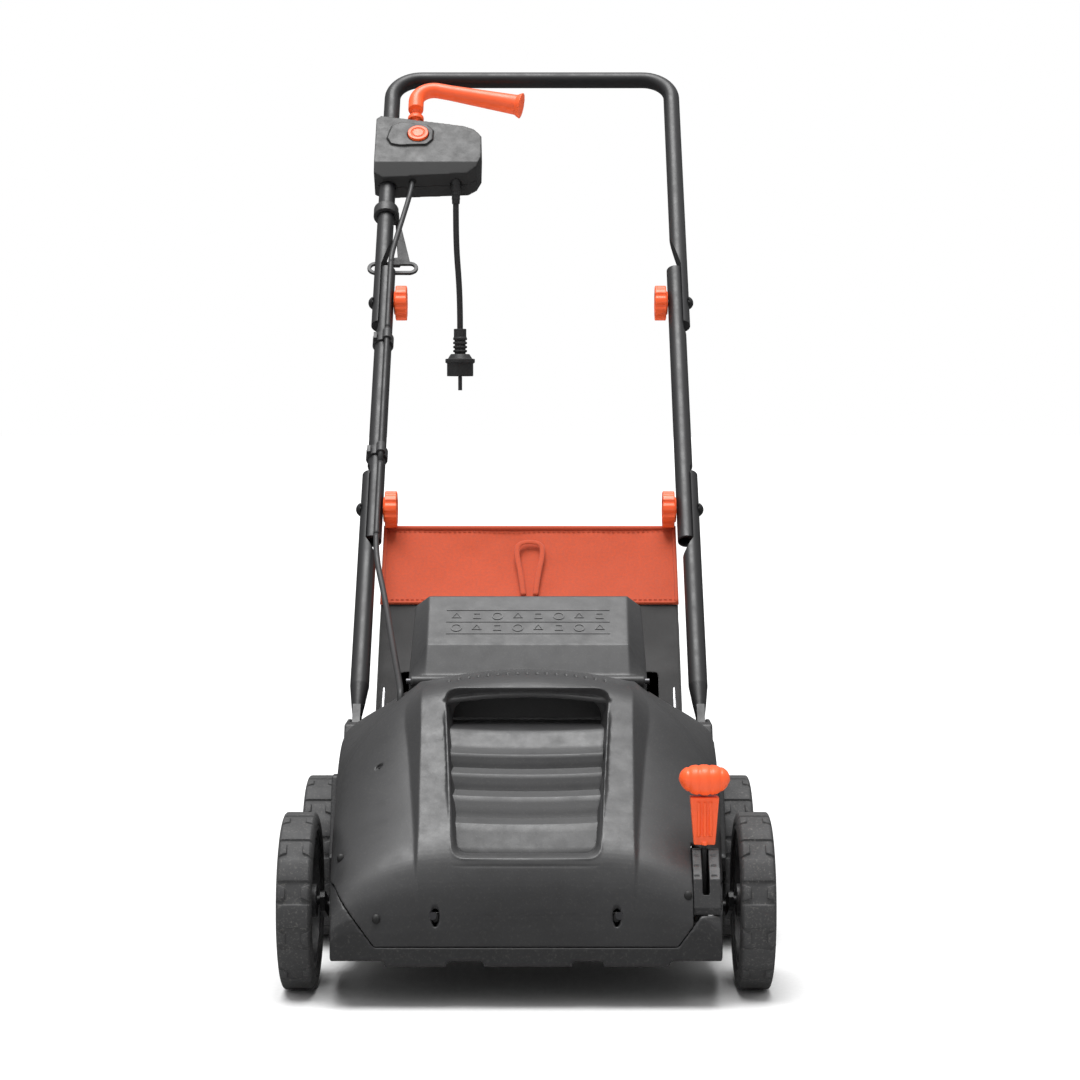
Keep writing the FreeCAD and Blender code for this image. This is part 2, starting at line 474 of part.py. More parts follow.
front = half_box(BOX_FRONT, -0.1, (BOX_FRONT + 3, 5))
pad = prism_y([(-196, 978), (-190, 1003), (-178, 1010), (-142, 1004), (-134, 994), (-134, 975), (-142, 965),
               (-178, 963), (-190, 966)], BOX_FRONT - 3, BOX_FRONT + 1)
front = front.fuse(pad)
front = front.cut(box(-174, -143, -24.9, -9.2, 1000, 1030))
chamfer = face([(-220, BOX_FRONT - 1, 935), (-220, BOX_FRONT + 12, 905), (-220, BOX_FRONT - 1, 905)]).extrude(V(160, 0, 0))
front = front.cut(chamfer)
front = front.fuse(prism_y([(-170, 968), (-138, 968), (-138, 1003), (-170, 1003)], -25.2, -23.0))
front = front.cut(rod((-154, -40, 985), (-154, -24.0, 985), 14.2))
front = front.fuse(rod((LEVER_PIVOT[0], -23.5, LEVER_PIVOT[1]), (LEVER_PIVOT[0], -6, LEVER_PIVOT[1]), 3.0))
front = front.removeSplitter()
back = half_box(0.1, BOX_BACK, (-5, BOX_BACK - 3)).removeSplitter()
front = front.cut(rod((-160, -9, 900), (-160, -9, 930), CABLE_R + 0.5))
boot_hole = rod((-102, CORD_Y, 850), (-102, CORD_Y, 912), 7.2)
add("switch_box_front", lean(front).cut(boot_hole))
add("switch_box_back", lean(back).cut(boot_hole))
button = fuse([rod((-154, -34, 985), (-154, -27.0, 985), 13.9)])
button = button.cut(ring((-154, -34, 985), (0, 1, 0), 9.5, 7.5, 1.2))
add("safety_button", lean(button))
add("microswitch", lean(box(-130, -104, -14, -2, 950, 966)))
hold_start, hold_end = V(-112.0, -25, 1076.2), V(-18.0, -25, 1050.6)
hold_axis = (hold_end - hold_start).normalize()
bail_corner = hold_start - hold_axis * ((hold_start.x + 159.0) / hold_axis.x)
grip_bar = pipe([(-159, -25, 1040), tuple(bail_corner), tuple(hold_start)], 10.5, 24.0)
handhold = Part.makeCone(10.5, 14.0, (hold_end - hold_start).Length, hold_start, hold_axis)
neck = pipe([(-159, -16.6, 992), (-159, -16.6, 1028), (-159, -25, 1052), (-159, -25, 1062)], 6.3, 10.0)
collar = rod((-159, -16.6, 1026), (-159, -16.6, 1034), 11)
flange = Part.makeCone(15.0, 18.0, 6, hold_end - hold_axis * 2, hold_axis)
plate = rod((LEVER_PIVOT[0], -22.8, LEVER_PIVOT[1]), (LEVER_PIVOT[0], -10.9, LEVER_PIVOT[1]), 8.0)
bail = fuse([grip_bar, handhold, neck, collar, flange, plate])
for i in range(4):
    x = -112 + 23 * i
    z = 1054 - (x + 112) * 0.31
    bail = bail.cut(rod((x, -45, z), (x, -5, z), 11.5))
bail = bail.cut(rod((LEVER_PIVOT[0], -30, LEVER_PIVOT[1]), (LEVER_PIVOT[0], -2, LEVER_PIVOT[1]), 3.0 + RUN))
add("bail_lever", lean(bail))

# ---- cord strain-relief hook on the left tube
hook = [ring((-OUTER_X, 0, 853), (0, 0, 1), 16.5, TUBE_R + 0.1, 15)]
wedge = face([(-183, 13.2, 868), (-176, 13.2, 860), (-160, 13.2, 782), (-176, 13.2, 782)]).extrude(V(0, 3.5, 0))
hook += [wedge, box(-185, -177, 4, 16.7, 855, 867)]
stadium = fuse([box(-205, -160, 13.2, 17, 760, 782), rod((-205, 13.2, 771), (-205, 17, 771), 11),
                rod((-160, 13.2, 771), (-160, 17, 771), 11)])
hole = fuse([box(-205, -160, 12, 18, 765, 777), rod((-205, 12, 771), (-205, 18, 771), 6),
             rod((-160, 12, 771), (-160, 18, 771), 6)])
hook.append(stadium.cut(hole))
hook.append(box(-182, -173, 13.2, 19, 776, 790))
hook = fuse(hook).cut(rod((-OUTER_X, 0, 840), (-OUTER_X, 0, 880), TUBE_R + 0.1))
add("cord_hook", lean(hook))

# ---- machine cable, held to the left tubes by two clips
cable_upper = pipe([lean_point(*p) for p in ((-160, -9, 926), (-160, -9, 905), (-166, -13, 862), (-179, -14, 790),
                                             (CABLE_X, CABLE_N, 762), (CABLE_X, CABLE_N, 754))], CABLE_R, 9.0)
add("machine_cable_upper", cable_upper)
for name, a, b in (("machine_cable_upper_bend", 753.9, 632.1), ("machine_cable_middle", 632, 402),
                   ("machine_cable_lower_bend", 401.9, 285.1)):
    add(name, rod(lean_point(CABLE_X, CABLE_N, a), lean_point(CABLE_X, CABLE_N, b), CABLE_R))
cable_lower = pipe([lean_point(CABLE_X, CABLE_N, 285), lean_point(CABLE_X, CABLE_N, 255), (-168, 400, 372),
                    (-151, 280, 318), (-138, 170, 292), (-137, 152, 284), (-137, 151, 262)], CABLE_R, 12.0)
add("machine_cable_lower", cable_lower)
clips = []
for s in (620, 425):
    clip = fuse([rod((-MIDDLE_X, 0, s - 7), (-MIDDLE_X, 0, s + 7), 13.4),
                 rod((CABLE_X, CABLE_N, s - 7), (CABLE_X, CABLE_N, s + 7), 5.8),
                 box(-200, -196, -15, -6, s - 6, s + 4)])
    clip = clip.cut(rod((-MIDDLE_X, 0, s - 20), (-MIDDLE_X, 0, s + 20), TUBE_R + 0.02))
    clip = clip.cut(rod((CABLE_X, CABLE_N, s - 20), (CABLE_X, CABLE_N, s + 20), CABLE_R + 0.02))
    clips.append(lean(max(clip.Solids, key=lambda q: q.Volume)))
add("cable_clips", Part.makeCompound(clips))

# ---- mains lead hanging from the switch box
boot = Part.makeCone(6.6, 5.2, 34, V(-102, CORD_Y, 903), V(0, 0, -1))
boot = fuse([boot] + [Part.makeTorus(5.9 - 0.3 * i, 0.9, V(-102, CORD_Y, 894 - 6 * i), Z) for i in range(4)])
add("lead_boot", boot)
lead_route = [(-102.0, CORD_Y, 869.0), (-102.0, CORD_Y, 841.0), (-101.0, CORD_Y, 803.0),
              (-98.0, CORD_Y, 765.0), (-96.6, CORD_Y, 727.0), (-96.6, CORD_Y, 701.0)]
bends = []
for a, b, c in zip(lead_route, lead_route[1:], lead_route[2:]):
    u, w = V(*b) - V(*a), V(*c) - V(*b)
    bends.append(0.45 * min(u.Length, w.Length) / math.tan(u.getAngle(w) / 2))
print("lead radii", [round(r) for r in bends])
lead = pipe(lead_route, CORD_R, bends)
lead_length = sum((V(*b) - V(*a)).Length for a, b in zip(lead_route, lead_route[1:]))
print("lead length", round(lead_length, 1), "volume ratio", lead.Volume / (math.pi * CORD_R ** 2 * lead_length))
add("lead_cord", lead)
plug = [rod((-96.6, CORD_Y, 701), (-96.6, CORD_Y, 690), 8.5)]
plug += [rod((-96.6, CORD_Y, z), (-96.6, CORD_Y, z - 3.2), 9.5) for z in (689, 683.5, 678, 672.5)]
plug += [rod((-96.6, CORD_Y, 690), (-96.6, CORD_Y, 664), 7.2),
         Part.makeCone(12.5, 17.0, 7, V(-96.6, CORD_Y, 667), V(0, 0, -1)),
         rod((-96.6, CORD_Y, 660.5), (-96.6, CORD_Y, 655), 20.0), rod((-96.6, CORD_Y, 655), (-96.6, CORD_Y, 637), 17.8)]
plug = fuse(plug)
for s in (-1, 1):
    plug = plug.cut(rod((-96.6, CORD_Y + PIN_Y * s, 630), (-96.6, CORD_Y + PIN_Y * s, 645), PIN_ROOT_R))
add("plug_body", plug)
pins = [rod((-96.6, CORD_Y + PIN_Y * s, 618), (-96.6, CORD_Y + PIN_Y * s, 636.4), PIN_R)
        .fuse(rod((-96.6, CORD_Y + PIN_Y * s, 636), (-96.6, CORD_Y + PIN_Y * s, 645), PIN_ROOT_R)) for s in (-1, 1)]
add("plug_pins", Part.makeCompound(pins))

# ---- collection bag
BAG_X = 176.8
SEAM = (451.0, 361.0)
BAG_TOP = (532.0, 448.0)
bag_profile = [(343, 84), (343, 245), BAG_TOP, (548, 452), (760, 430), (850, 380), (885, 290), (880, 170), (840, 95),
               (780, 72), (360, 66)]
bag_in = [(339, 90), (339, 246.5), (534, 444.5), (549, 448.5), (758, 426.5), (846, 378), (881.5, 289), (876.5, 172),
          (838, 98.5), (779, 75.5), (352, 69.5)]
bag = prism_x(bag_profile, -BAG_X, BAG_X).cut(prism_x(bag_in, -BAG_X + 3, BAG_X - 3))
mouth = box(-150, 150, 330, 352, 92, 240).fuse(prism_x([(330, 240), (352, 225), (420, 296), (400, 320)], -120, 120))
bag = bag.cut(mouth)
front_panel = prism_x([(SEAM[0] - 0.5, SEAM[1] + 0.5), BAG_TOP, (534.7, 445.4), (453.7, 358.4)], -BAG_X, BAG_X)
bag = bag.cut(prism_x([(SEAM[0] - 3, SEAM[1] + 3), (SEAM[0] - 0.5, SEAM[1] + 0.5), (SEAM[0] + 2.7, SEAM[1] - 2.6),
                       (534.7, 445.4), (534.8, 455), (530, 455)], -190, 190)).cut(front_panel)
add("bag_fabric", max(bag.Solids, key=lambda q: q.Volume))
add("bag_front_panel", front_panel)
tan = V(0, BAG_TOP[0] - SEAM[0], BAG_TOP[1] - SEAM[1]).normalize()
out = V(0, -tan.z, tan.y)
strap_pts = [V(x, SEAM[0], SEAM[1]) + tan * s + out * 3.2 for x, s in
             ((-7, 12), (-14, 84), (0, 91), (14, 84), (7, 12))]
strap = pipe([tuple(p) for p in strap_pts], 2.3, [30.0, 7.0, 30.0])
add("bag_strap", strap)
frame_r = 3.0
wire = pipe([(-168, 350, 78), (-168, 350, 242), (-168, 545, 441), (168, 545, 441), (168, 350, 242), (168, 350, 78)],
            frame_r, 9.0)
base_wire = rod((-168, 350, 81), (168, 350, 81), frame_r)
add("bag_frame", fuse([wire, base_wire]))

# ---- housing screws
screws = [rod((s * 92, -103, 93), (s * 92, -101.5, 93), 3.8) for s in (-1, 1)]
add("housing_screws", Part.makeCompound(screws))

# ---- write one file per piece
os.makedirs("parts", exist_ok=True)
for name, shape in parts.items():
    shape = shape.copy()
    shape.translate(V(0, ORIGIN_SHIFT_Y, 0))
    shape.exportStep("parts/%s.step" % name)
print(len(parts), "pieces")
for name, shape in parts.items():
    b = shape.optimalBoundingBox()
    print("%-26s solids %2d valid %s vol %9.0f  X %.1f..%.1f Y %.1f..%.1f Z %.1f..%.1f" % (
        name, len(shape.Solids), shape.isValid(), shape.Volume, b.XMin, b.XMax, b.YMin, b.YMax, b.ZMin, b.ZMax))
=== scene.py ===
"""Looks of the electric lawn dethatcher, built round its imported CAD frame. Metres."""
import json
import math

import bmesh
import bpy
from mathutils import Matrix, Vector, noise
from mathutils.bvhtree import BVHTree


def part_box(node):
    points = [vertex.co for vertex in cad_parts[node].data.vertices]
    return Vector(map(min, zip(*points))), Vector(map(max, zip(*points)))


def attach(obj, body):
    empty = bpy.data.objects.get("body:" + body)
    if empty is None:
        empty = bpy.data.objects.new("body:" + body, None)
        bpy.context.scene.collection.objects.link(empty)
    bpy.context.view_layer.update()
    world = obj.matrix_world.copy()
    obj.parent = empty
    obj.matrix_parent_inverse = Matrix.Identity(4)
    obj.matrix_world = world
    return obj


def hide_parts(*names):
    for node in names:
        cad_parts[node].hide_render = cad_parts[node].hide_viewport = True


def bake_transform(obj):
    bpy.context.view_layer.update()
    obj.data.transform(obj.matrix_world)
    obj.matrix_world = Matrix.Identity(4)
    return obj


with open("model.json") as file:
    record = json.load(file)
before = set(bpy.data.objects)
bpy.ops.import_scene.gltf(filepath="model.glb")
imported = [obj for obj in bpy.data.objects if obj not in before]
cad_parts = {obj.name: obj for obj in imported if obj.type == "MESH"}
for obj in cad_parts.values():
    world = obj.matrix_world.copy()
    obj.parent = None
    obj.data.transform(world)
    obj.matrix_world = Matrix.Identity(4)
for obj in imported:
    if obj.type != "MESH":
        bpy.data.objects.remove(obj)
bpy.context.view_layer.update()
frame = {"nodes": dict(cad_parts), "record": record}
NODES = frame["nodes"]

# ---- places: across, behind the front axle, above the ground
AXLE_Y = sum(p.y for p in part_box("tyre_front_left")) / 2
LEAN = math.radians(42.98)
FOOT = Vector((0.0, 0.297, 0.224))       # where the handle's foot stands on the housing


def at(x, y, z):
    return Vector((x, AXLE_Y + y, z))


def lean(x, behind, along):
    """A point of the leaning handle: across, behind its plane, up along it."""
    return at(x, FOOT.y + behind * math.cos(LEAN) + along * math.sin(LEAN),
              FOOT.z - behind * math.sin(LEAN) + along * math.cos(LEAN))


# ---- materials
def material(name):
    mat = bpy.data.materials.new(name)
    mat.use_nodes = True
    return mat, mat.node_tree, mat.node_tree.nodes["Principled BSDF"]


def add_node(tree, kind, links=(), **values):
    """A node with its settings, its unlinked sockets and its links from other nodes' sockets."""
    made = tree.nodes.new(kind)
    for key, value in values.items():
        if hasattr(made, key):
            setattr(made, key, value)
        else:
            made.inputs[key.replace("_", " ")].default_value = value
    for socket, source in links:
        tree.links.new(source, made.inputs[socket])
    return made


def noise_of(tree, place, scale, detail=3.0, rough=0.5):
    return add_node(tree, "ShaderNodeTexNoise", [("Vector", place)], Scale=scale, Detail=detail,
                    Roughness=rough)


def ranged(tree, source, low, high, from_low=0.3, from_high=0.7):
    made = add_node(tree, "ShaderNodeMapRange", [("Value", source)])
    made.inputs["From Min"].default_value = from_low
    made.inputs["From Max"].default_value = from_high
    made.inputs["To Min"].default_value = low
    made.inputs["To Max"].default_value = high
    return made.outputs["Result"]


def blended(tree, factor, first, second):
    made = add_node(tree, "ShaderNodeMix", data_type="RGBA")
    made.inputs[6].default_value = (*first, 1)
    made.inputs[7].default_value = (*second, 1)
    tree.links.new(factor, made.inputs[0])
    return made.outputs[2]


def tinted(colour, k):
    return tuple(min(1.0, c * k) for c in colour)


def surface(name, colour, rough, grain=0.0004, depth=0.1, mottle=0.12, wear=0.5, metallic=0.0,
            coat=0.0, stretch=(1, 1, 1), dust=0.0):
    """Moulded, painted or metal finish: fine grain, cloudy tone and gloss, pale worn edges, some dust."""
    mat, tree, shader = material(name)
    place = add_node(tree, "ShaderNodeTexCoord").outputs["Object"]
    drawn = add_node(tree, "ShaderNodeMapping", [("Vector", place)])
    drawn.inputs["Scale"].default_value = stretch
    clouds = noise_of(tree, place, 9.0, 5.0, 0.6).outputs["Fac"]
    smears = noise_of(tree, drawn.outputs["Vector"], 55.0, 4.0, 0.65).outputs["Fac"]
    tone = blended(tree, ranged(tree, clouds, 0, 1), tinted(colour, 1 - mottle), tinted(colour, 1 + mottle))
    edge = add_node(tree, "ShaderNodeNewGeometry").outputs["Pointiness"]
    worn = ranged(tree, edge, 0, wear, 0.52, 0.60)
    mixed = add_node(tree, "ShaderNodeMix", [(6, tone), (0, worn)], data_type="RGBA")
    mixed.inputs[7].default_value = (*tinted(colour, 1.9), 1)
    out = mixed.outputs[2]
    if dust:
        speck = noise_of(tree, place, 420.0, 2.0, 0.7).outputs["Fac"]
        dusty = add_node(tree, "ShaderNodeMix", [(6, out), (0, ranged(tree, speck, 0, dust, 0.55, 0.75))],
                         data_type="RGBA")
        dusty.inputs[7].default_value = (0.32, 0.30, 0.27, 1)
        out = dusty.outputs[2]
    tree.links.new(out, shader.inputs["Base Color"])
    tree.links.new(ranged(tree, smears, rough - 0.07, rough + 0.09), shader.inputs["Roughness"])
    pores = noise_of(tree, drawn.outputs["Vector"], 1.0 / grain, 2.0, 0.6).outputs["Fac"]
    bump = add_node(tree, "ShaderNodeBump", [("Height", pores)], Strength=depth, Distance=grain)
    tree.links.new(bump.outputs["Normal"], shader.inputs["Normal"])
    shader.inputs["Metallic"].default_value = metallic
    shader.inputs["Coat Weight"].default_value = coat
    return mat


def woven(name, colour, pitch, sheen):
    """Plain weave drawn on the cloth's own UV, which is in metres."""
    mat, tree, shader = material(name)
    uv = add_node(tree, "ShaderNodeTexCoord").outputs["UV"]
    place = add_node(tree, "ShaderNodeTexCoord").outputs["Object"]
    threads = []
    for direction in ("X", "Y"):
        threads.append(add_node(tree, "ShaderNodeTexWave", [("Vector", uv)], bands_direction=direction,
                                Scale=0.314 / pitch, Distortion=0.35, Detail=1.0))
    for wave in threads:
        wave.inputs["Detail Scale"].default_value = 3.0
    crossing = [(0, threads[0].outputs["Fac"]), (1, threads[1].outputs["Fac"])]
    lifted = add_node(tree, "ShaderNodeMath", crossing, operation="MULTIPLY").outputs[0]
    slub = noise_of(tree, uv, 260.0, 4.0, 0.7).outputs["Fac"]
    faded = noise_of(tree, place, 7.0, 5.0, 0.6).outputs["Fac"]
    ground = blended(tree, ranged(tree, slub, 0, 1), tinted(colour, 0.8), tinted(colour, 1.15))
    weave = add_node(tree, "ShaderNodeMix", [(6, ground), (0, ranged(tree, lifted, 0.0, 0.55, 0.0, 0.9))],
                     data_type="RGBA")
    weave.inputs[7].default_value = (*tinted(colour, 1.45), 1)
    aged = add_node(tree, "ShaderNodeMix", [(6, weave.outputs[2]), (0, ranged(tree, faded, 0, 0.22))],
                    data_type="RGBA")
    aged.inputs[7].default_value = (*tinted(colour, 0.55), 1)
    tree.links.new(aged.outputs[2], shader.inputs["Base Color"])
    bump = add_node(tree, "ShaderNodeBump", [("Height", lifted)], Strength=0.5, Distance=0.0005)
    tree.links.new(bump.outputs["Normal"], shader.inputs["Normal"])
    tree.links.new(ranged(tree, slub, 0.72, 0.92), shader.inputs["Roughness"])
    shader.inputs["Sheen Weight"].default_value = sheen
    shader.inputs["Sheen Roughness"].default_value = 0.4
    return mat


ORANGE = (0.95, 0.115, 0.026)
LOOK = {
    "dark_grey_plastic": surface("hood_plastic", (0.030, 0.030, 0.031), 0.42, 0.0005, 0.10, dust=0.05),
    "black_plastic": surface("chassis_plastic", (0.022, 0.022, 0.023), 0.48, 0.0006, 0.14, dust=0.10),
    "orange_plastic": surface("orange_plastic", ORANGE, 0.38, 0.0005, 0.08, mottle=0.04, wear=0.3),
    "black_paint": surface("tube_paint", (0.012, 0.012, 0.013), 0.44, 0.0020, 0.015, wear=0.15),
    "steel": surface("steel", (0.42, 0.42, 0.43), 0.34, 0.0004, 0.12, metallic=1.0, stretch=(0.06, 1, 1),
                     wear=0.2),
    "tyre": surface("tyre_rubber", (0.040, 0.040, 0.041), 0.68, 0.0007, 0.22, wear=0.35, dust=0.22),
    "rim_plastic": surface("rim_plastic", (0.030, 0.030, 0.031), 0.46, 0.0005, 0.12, dust=0.12),
    "cable_rubber": surface("cable_rubber", (0.022, 0.022, 0.023), 0.50, 0.0004, 0.12, wear=0.15, dust=0.04),
    "belt_rubber": surface("belt_rubber", (0.025, 0.024, 0.023), 0.72, 0.0006, 0.2, dust=0.1),
    "cast": surface("cast_metal", (0.30, 0.30, 0.30), 0.52, 0.0012, 0.25, metallic=1.0),
    "dark_fabric": woven("dark_fabric", (0.043, 0.042, 0.042), 0.0011, 0.15),
    "orange_fabric": woven("orange_fabric", (0.50, 0.066, 0.020), 0.0011, 0.2),
}
DARK_STEEL = surface("dark_steel", (0.10, 0.10, 0.105), 0.42, 0.0005, 0.12, metallic=0.9, wear=0.3)
# darker than the black plastic: painted shade of the screw holes, given to the hood's screw domes
SCREW_HOLE_SHADE = surface("painted_screw_hole_shade", (0.014, 0.014, 0.014), 0.55, 0.0005, 0.1)
BOX_PLASTIC = surface("switch_box_plastic", (0.021, 0.021, 0.021), 0.47, 0.0007, 0.16)


# ---- mesh helpers
def finish_piece(obj, body, slot, look=None, smooth=True):
    obj.data.materials.clear()
    obj.data.materials.append(look or LOOK[slot])
    if smooth and obj.type == "MESH":
        obj.data.shade_smooth()
    if body:
        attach(obj, body)
    return obj


def new_object(name, data):
    obj = bpy.data.objects.new(name, data)
    bpy.context.scene.collection.objects.link(obj)
    return obj


def mesh_piece(name, verts, faces, body, slot, look=None, smooth=True):
    data = bpy.data.meshes.new(name)
    data.from_pydata([tuple(v) for v in verts], [], faces)
    data.validate()
    data.update()
    return finish_piece(new_object(name, data), body, slot, look, smooth)


def applied(obj):
    """Replaces the object's mesh by what its modifiers make of it."""
    made = bpy.data.meshes.new_from_object(obj.evaluated_get(bpy.context.evaluated_depsgraph_get()))
    obj.modifiers.clear()
    obj.data = made
    return obj


def skin(obj, voxel, smooth, keep, extra=()):
    """One closed skin with soft moulded edges round everything in the mesh and in the extra objects."""
    joined = bmesh.new()
    for source in [obj, *extra]:
        joined.from_mesh(source.data)
    data = bpy.data.meshes.new(obj.name)
    joined.to_mesh(data)
    joined.free()
    obj.data = data
    for o in extra:
        bpy.data.objects.remove(o)
    wrap = obj.modifiers.new("wrap", "REMESH")
    wrap.mode, wrap.voxel_size, wrap.use_smooth_shade = "VOXEL", voxel, True
    soften = obj.modifiers.new("soften", "SMOOTH")
    soften.factor, soften.iterations = 0.5, smooth
    if keep < 1:
        obj.modifiers.new("thin", "DECIMATE").ratio = keep
    return applied(obj)


def moulded(name, nodes, body, slot, voxel, smooth=4, keep=0.4, extra=(), look=None):
    """The solids of CAD nodes as one skin with soft moulded edges, in place of those nodes."""
    joined = bmesh.new()
    for node in nodes:
        joined.from_mesh(NODES[node].data)
    data = bpy.data.meshes.new(name)
    joined.to_mesh(data)
    joined.free()
    obj = skin(new_object(name, data), voxel, smooth, keep, extra)
    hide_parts(*nodes)
    return finish_piece(obj, body, slot, look)


def ring_points(centre, across, up, radius, count, squeeze=1.0):
    return [centre + across * (radius * math.cos(2 * math.pi * i / count))
            + up * (radius * squeeze * math.sin(2 * math.pi * i / count)) for i in range(count)]


def swept(points, radius, count=16, squeeze=1.0, side=None):
    """Vertices and faces of a tube along points; radius may be a function of the share of the way."""
    verts, faces = [], []
    across = side
    for i, p in enumerate(points):
        ahead = (points[min(i + 1, len(points) - 1)] - points[max(i - 1, 0)]).normalized()
        if across is None:
            across = ahead.orthogonal().normalized()
        across = (across - ahead * across.dot(ahead)).normalized()
        r = radius(i / (len(points) - 1)) if callable(radius) else radius
        verts += ring_points(p, across, ahead.cross(across), r, count, squeeze)
        if i:
            a, b = (i - 1) * count, i * count
            faces += [(a + k, a + (k + 1) % count, b + (k + 1) % count, b + k) for k in range(count)]
    faces.append(tuple(range(count))[::-1])
    faces.append(tuple(len(verts) - count + k for k in range(count)))
    return verts, faces


def curve_through(points, order=3):
    """Points read from the smooth NURBS line whose control points are given."""
    data = bpy.data.curves.new("route", "CURVE")
    data.dimensions = "3D"
    line = data.splines.new("NURBS")
    line.points.add(len(points) - 1)
    for q, p in zip(line.points, points):
        q.co = (*p, 1)
    line.order_u = order
    line.use_endpoint_u = True
    line.resolution_u = 12
    holder = bpy.data.objects.new("route", data)
    mesh = bpy.data.meshes.new_from_object(holder)
    found = [v.co.copy() for v in mesh.vertices]
    bpy.data.objects.remove(holder)
    bpy.data.meshes.remove(mesh)
    return found


# ---- mains lead hanging from the switch box
LEAD_ROUTE = [at(-0.102, 0.921, 0.869), at(-0.102, 0.921, 0.841), at(-0.101, 0.921, 0.803),
              at(-0.098, 0.921, 0.765), at(-0.0966, 0.921, 0.727), at(-0.0966, 0.921, 0.701)]
LEAD_WIDTH, LEAD_LENGTH = 0.008, 0.168


def make_lead():
    data = bpy.data.curves.new("mains_lead", "CURVE")
    data.dimensions = "3D"
    line = data.splines.new("NURBS")
    line.points.add(len(LEAD_ROUTE) - 1)
    for q, p in zip(line.points, LEAD_ROUTE):
        q.co = (*p, 1)
    line.order_u = 3
    line.use_endpoint_u = True
    line.resolution_u = 16
    data.bevel_depth = LEAD_WIDTH / 2
    data.bevel_resolution = 5
    lead = new_object("mains_lead", data)
    finish_piece(lead, "upper_section", "cable_rubber")
    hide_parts("lead_cord")
    return lead


# ---- camera, light and floor
def make_camera():
    data = bpy.data.cameras.new("camera")
    data.lens, data.sensor_width = 90, 36
    data.shift_x = -0.00582
    camera = new_object("camera", data)
    camera.location = at(0.020, -2.7404, 0.589)
    camera.rotation_euler = (math.radians(90 - 2.72), 0, 0)
    bpy.context.scene.camera = camera


def sun(name, aim, soft, strength):
    """A soft, even light that comes from the direction aim."""
    data = bpy.data.lights.new(name, "SUN")
    data.angle, data.energy = math.radians(soft), strength
    lamp = new_object(name, data)
    lamp.rotation_euler = Vector(aim).to_track_quat("Z", "Y").to_euler()


HORIZON, ZENITH = 0.12, 0.9          # brightness of the surroundings that the object sees


def make_studio():
    world = bpy.data.worlds.new("studio")
    world.use_nodes = True
    tree = world.node_tree
    sky = tree.nodes["Background"]
    sky.inputs["Color"].default_value = (1, 1, 1, 1)
    aim = add_node(tree, "ShaderNodeTexCoord").outputs["Generated"]
    height = add_node(tree, "ShaderNodeSeparateXYZ", [(0, aim)]).outputs["Z"]
    lit = ranged(tree, height, HORIZON, ZENITH, 0.1, 1.0)
    seen = add_node(tree, "ShaderNodeLightPath").outputs["Is Camera Ray"]
    strength = add_node(tree, "ShaderNodeMath", [(0, lit), (1, seen)], operation="MAXIMUM").outputs[0]
    tree.links.new(strength, sky.inputs["Strength"])
    bpy.context.scene.world = world
    sun("overhead", (-0.08, -0.08, 1.0), 40, 3.6)
    sun("front_left", (-1.0, -1.1, 0.7), 50, 0.25)
    floor_look, tree, shader = material("floor_paper")
    speck = noise_of(tree, add_node(tree, "ShaderNodeTexCoord").outputs["Object"], 180.0).outputs["Fac"]
    tree.links.new(blended(tree, ranged(tree, speck, 0, 1), (0.77, 0.77, 0.77), (0.81, 0.81, 0.81)),
                   shader.inputs["Base Color"])
    shader.inputs["Roughness"].default_value = 0.9
    shader.inputs["Specular IOR Level"].default_value = 0.1
    half = 60.0
    data = bpy.data.meshes.new("floor")
    corners = [(-half, -half, 0), (half, -half, 0), (half, half, 0), (-half, half, 0)]
    data.from_pydata(corners, [], [(0, 1, 2, 3)])
    floor = new_object("floor", data)
    data.materials.append(floor_look)
    floor.visible_glossy = False
    bpy.context.scene.view_settings.view_transform = "Standard"


# ---- hood
# from the nose to the back: distance behind the axle, half width, height of the side wall, half width and
# height of the middle band, its crown, and how far the flute beside the band drops and runs outwards
HOOD_ROWS = ((-0.1040, 0.1930, 0.070, 0.1070, 0.078, 0.001, 0.0005, 0.0006),
             (-0.1025, 0.1935, 0.078, 0.1070, 0.098, 0.002, 0.0010, 0.0010),
             (-0.0970, 0.1940, 0.088, 0.1075, 0.124, 0.003, 0.0020, 0.0015),
             (-0.0840, 0.1950, 0.100, 0.1080, 0.150, 0.005, 0.0040, 0.0025),
             (-0.0600, 0.1965, 0.115, 0.1080, 0.173, 0.006, 0.0070, 0.0040),
             (0.0000, 0.1990, 0.144, 0.1095, 0.221, 0.007, 0.0140, 0.0085),
             (0.0400, 0.2005, 0.160, 0.1100, 0.257, 0.008, 0.0185, 0.0125),
             (0.0720, 0.2015, 0.172, 0.1110, 0.288, 0.012, 0.0190, 0.0165),
             (0.0950, 0.2020, 0.180, 0.1100, 0.297, 0.014, 0.0120, 0.0160),
             (0.1300, 0.2030, 0.205, 0.1060, 0.300, 0.013, 0.0030, 0.0120),
             (0.1800, 0.2030, 0.226, 0.1080, 0.298, 0.012, 0.0005, 0.0060),
             (0.2500, 0.2030, 0.232, 0.1120, 0.286, 0.012, 0.0002, 0.0030))
HOOD_LOW, HOOD_WALL = 0.044, 0.0034


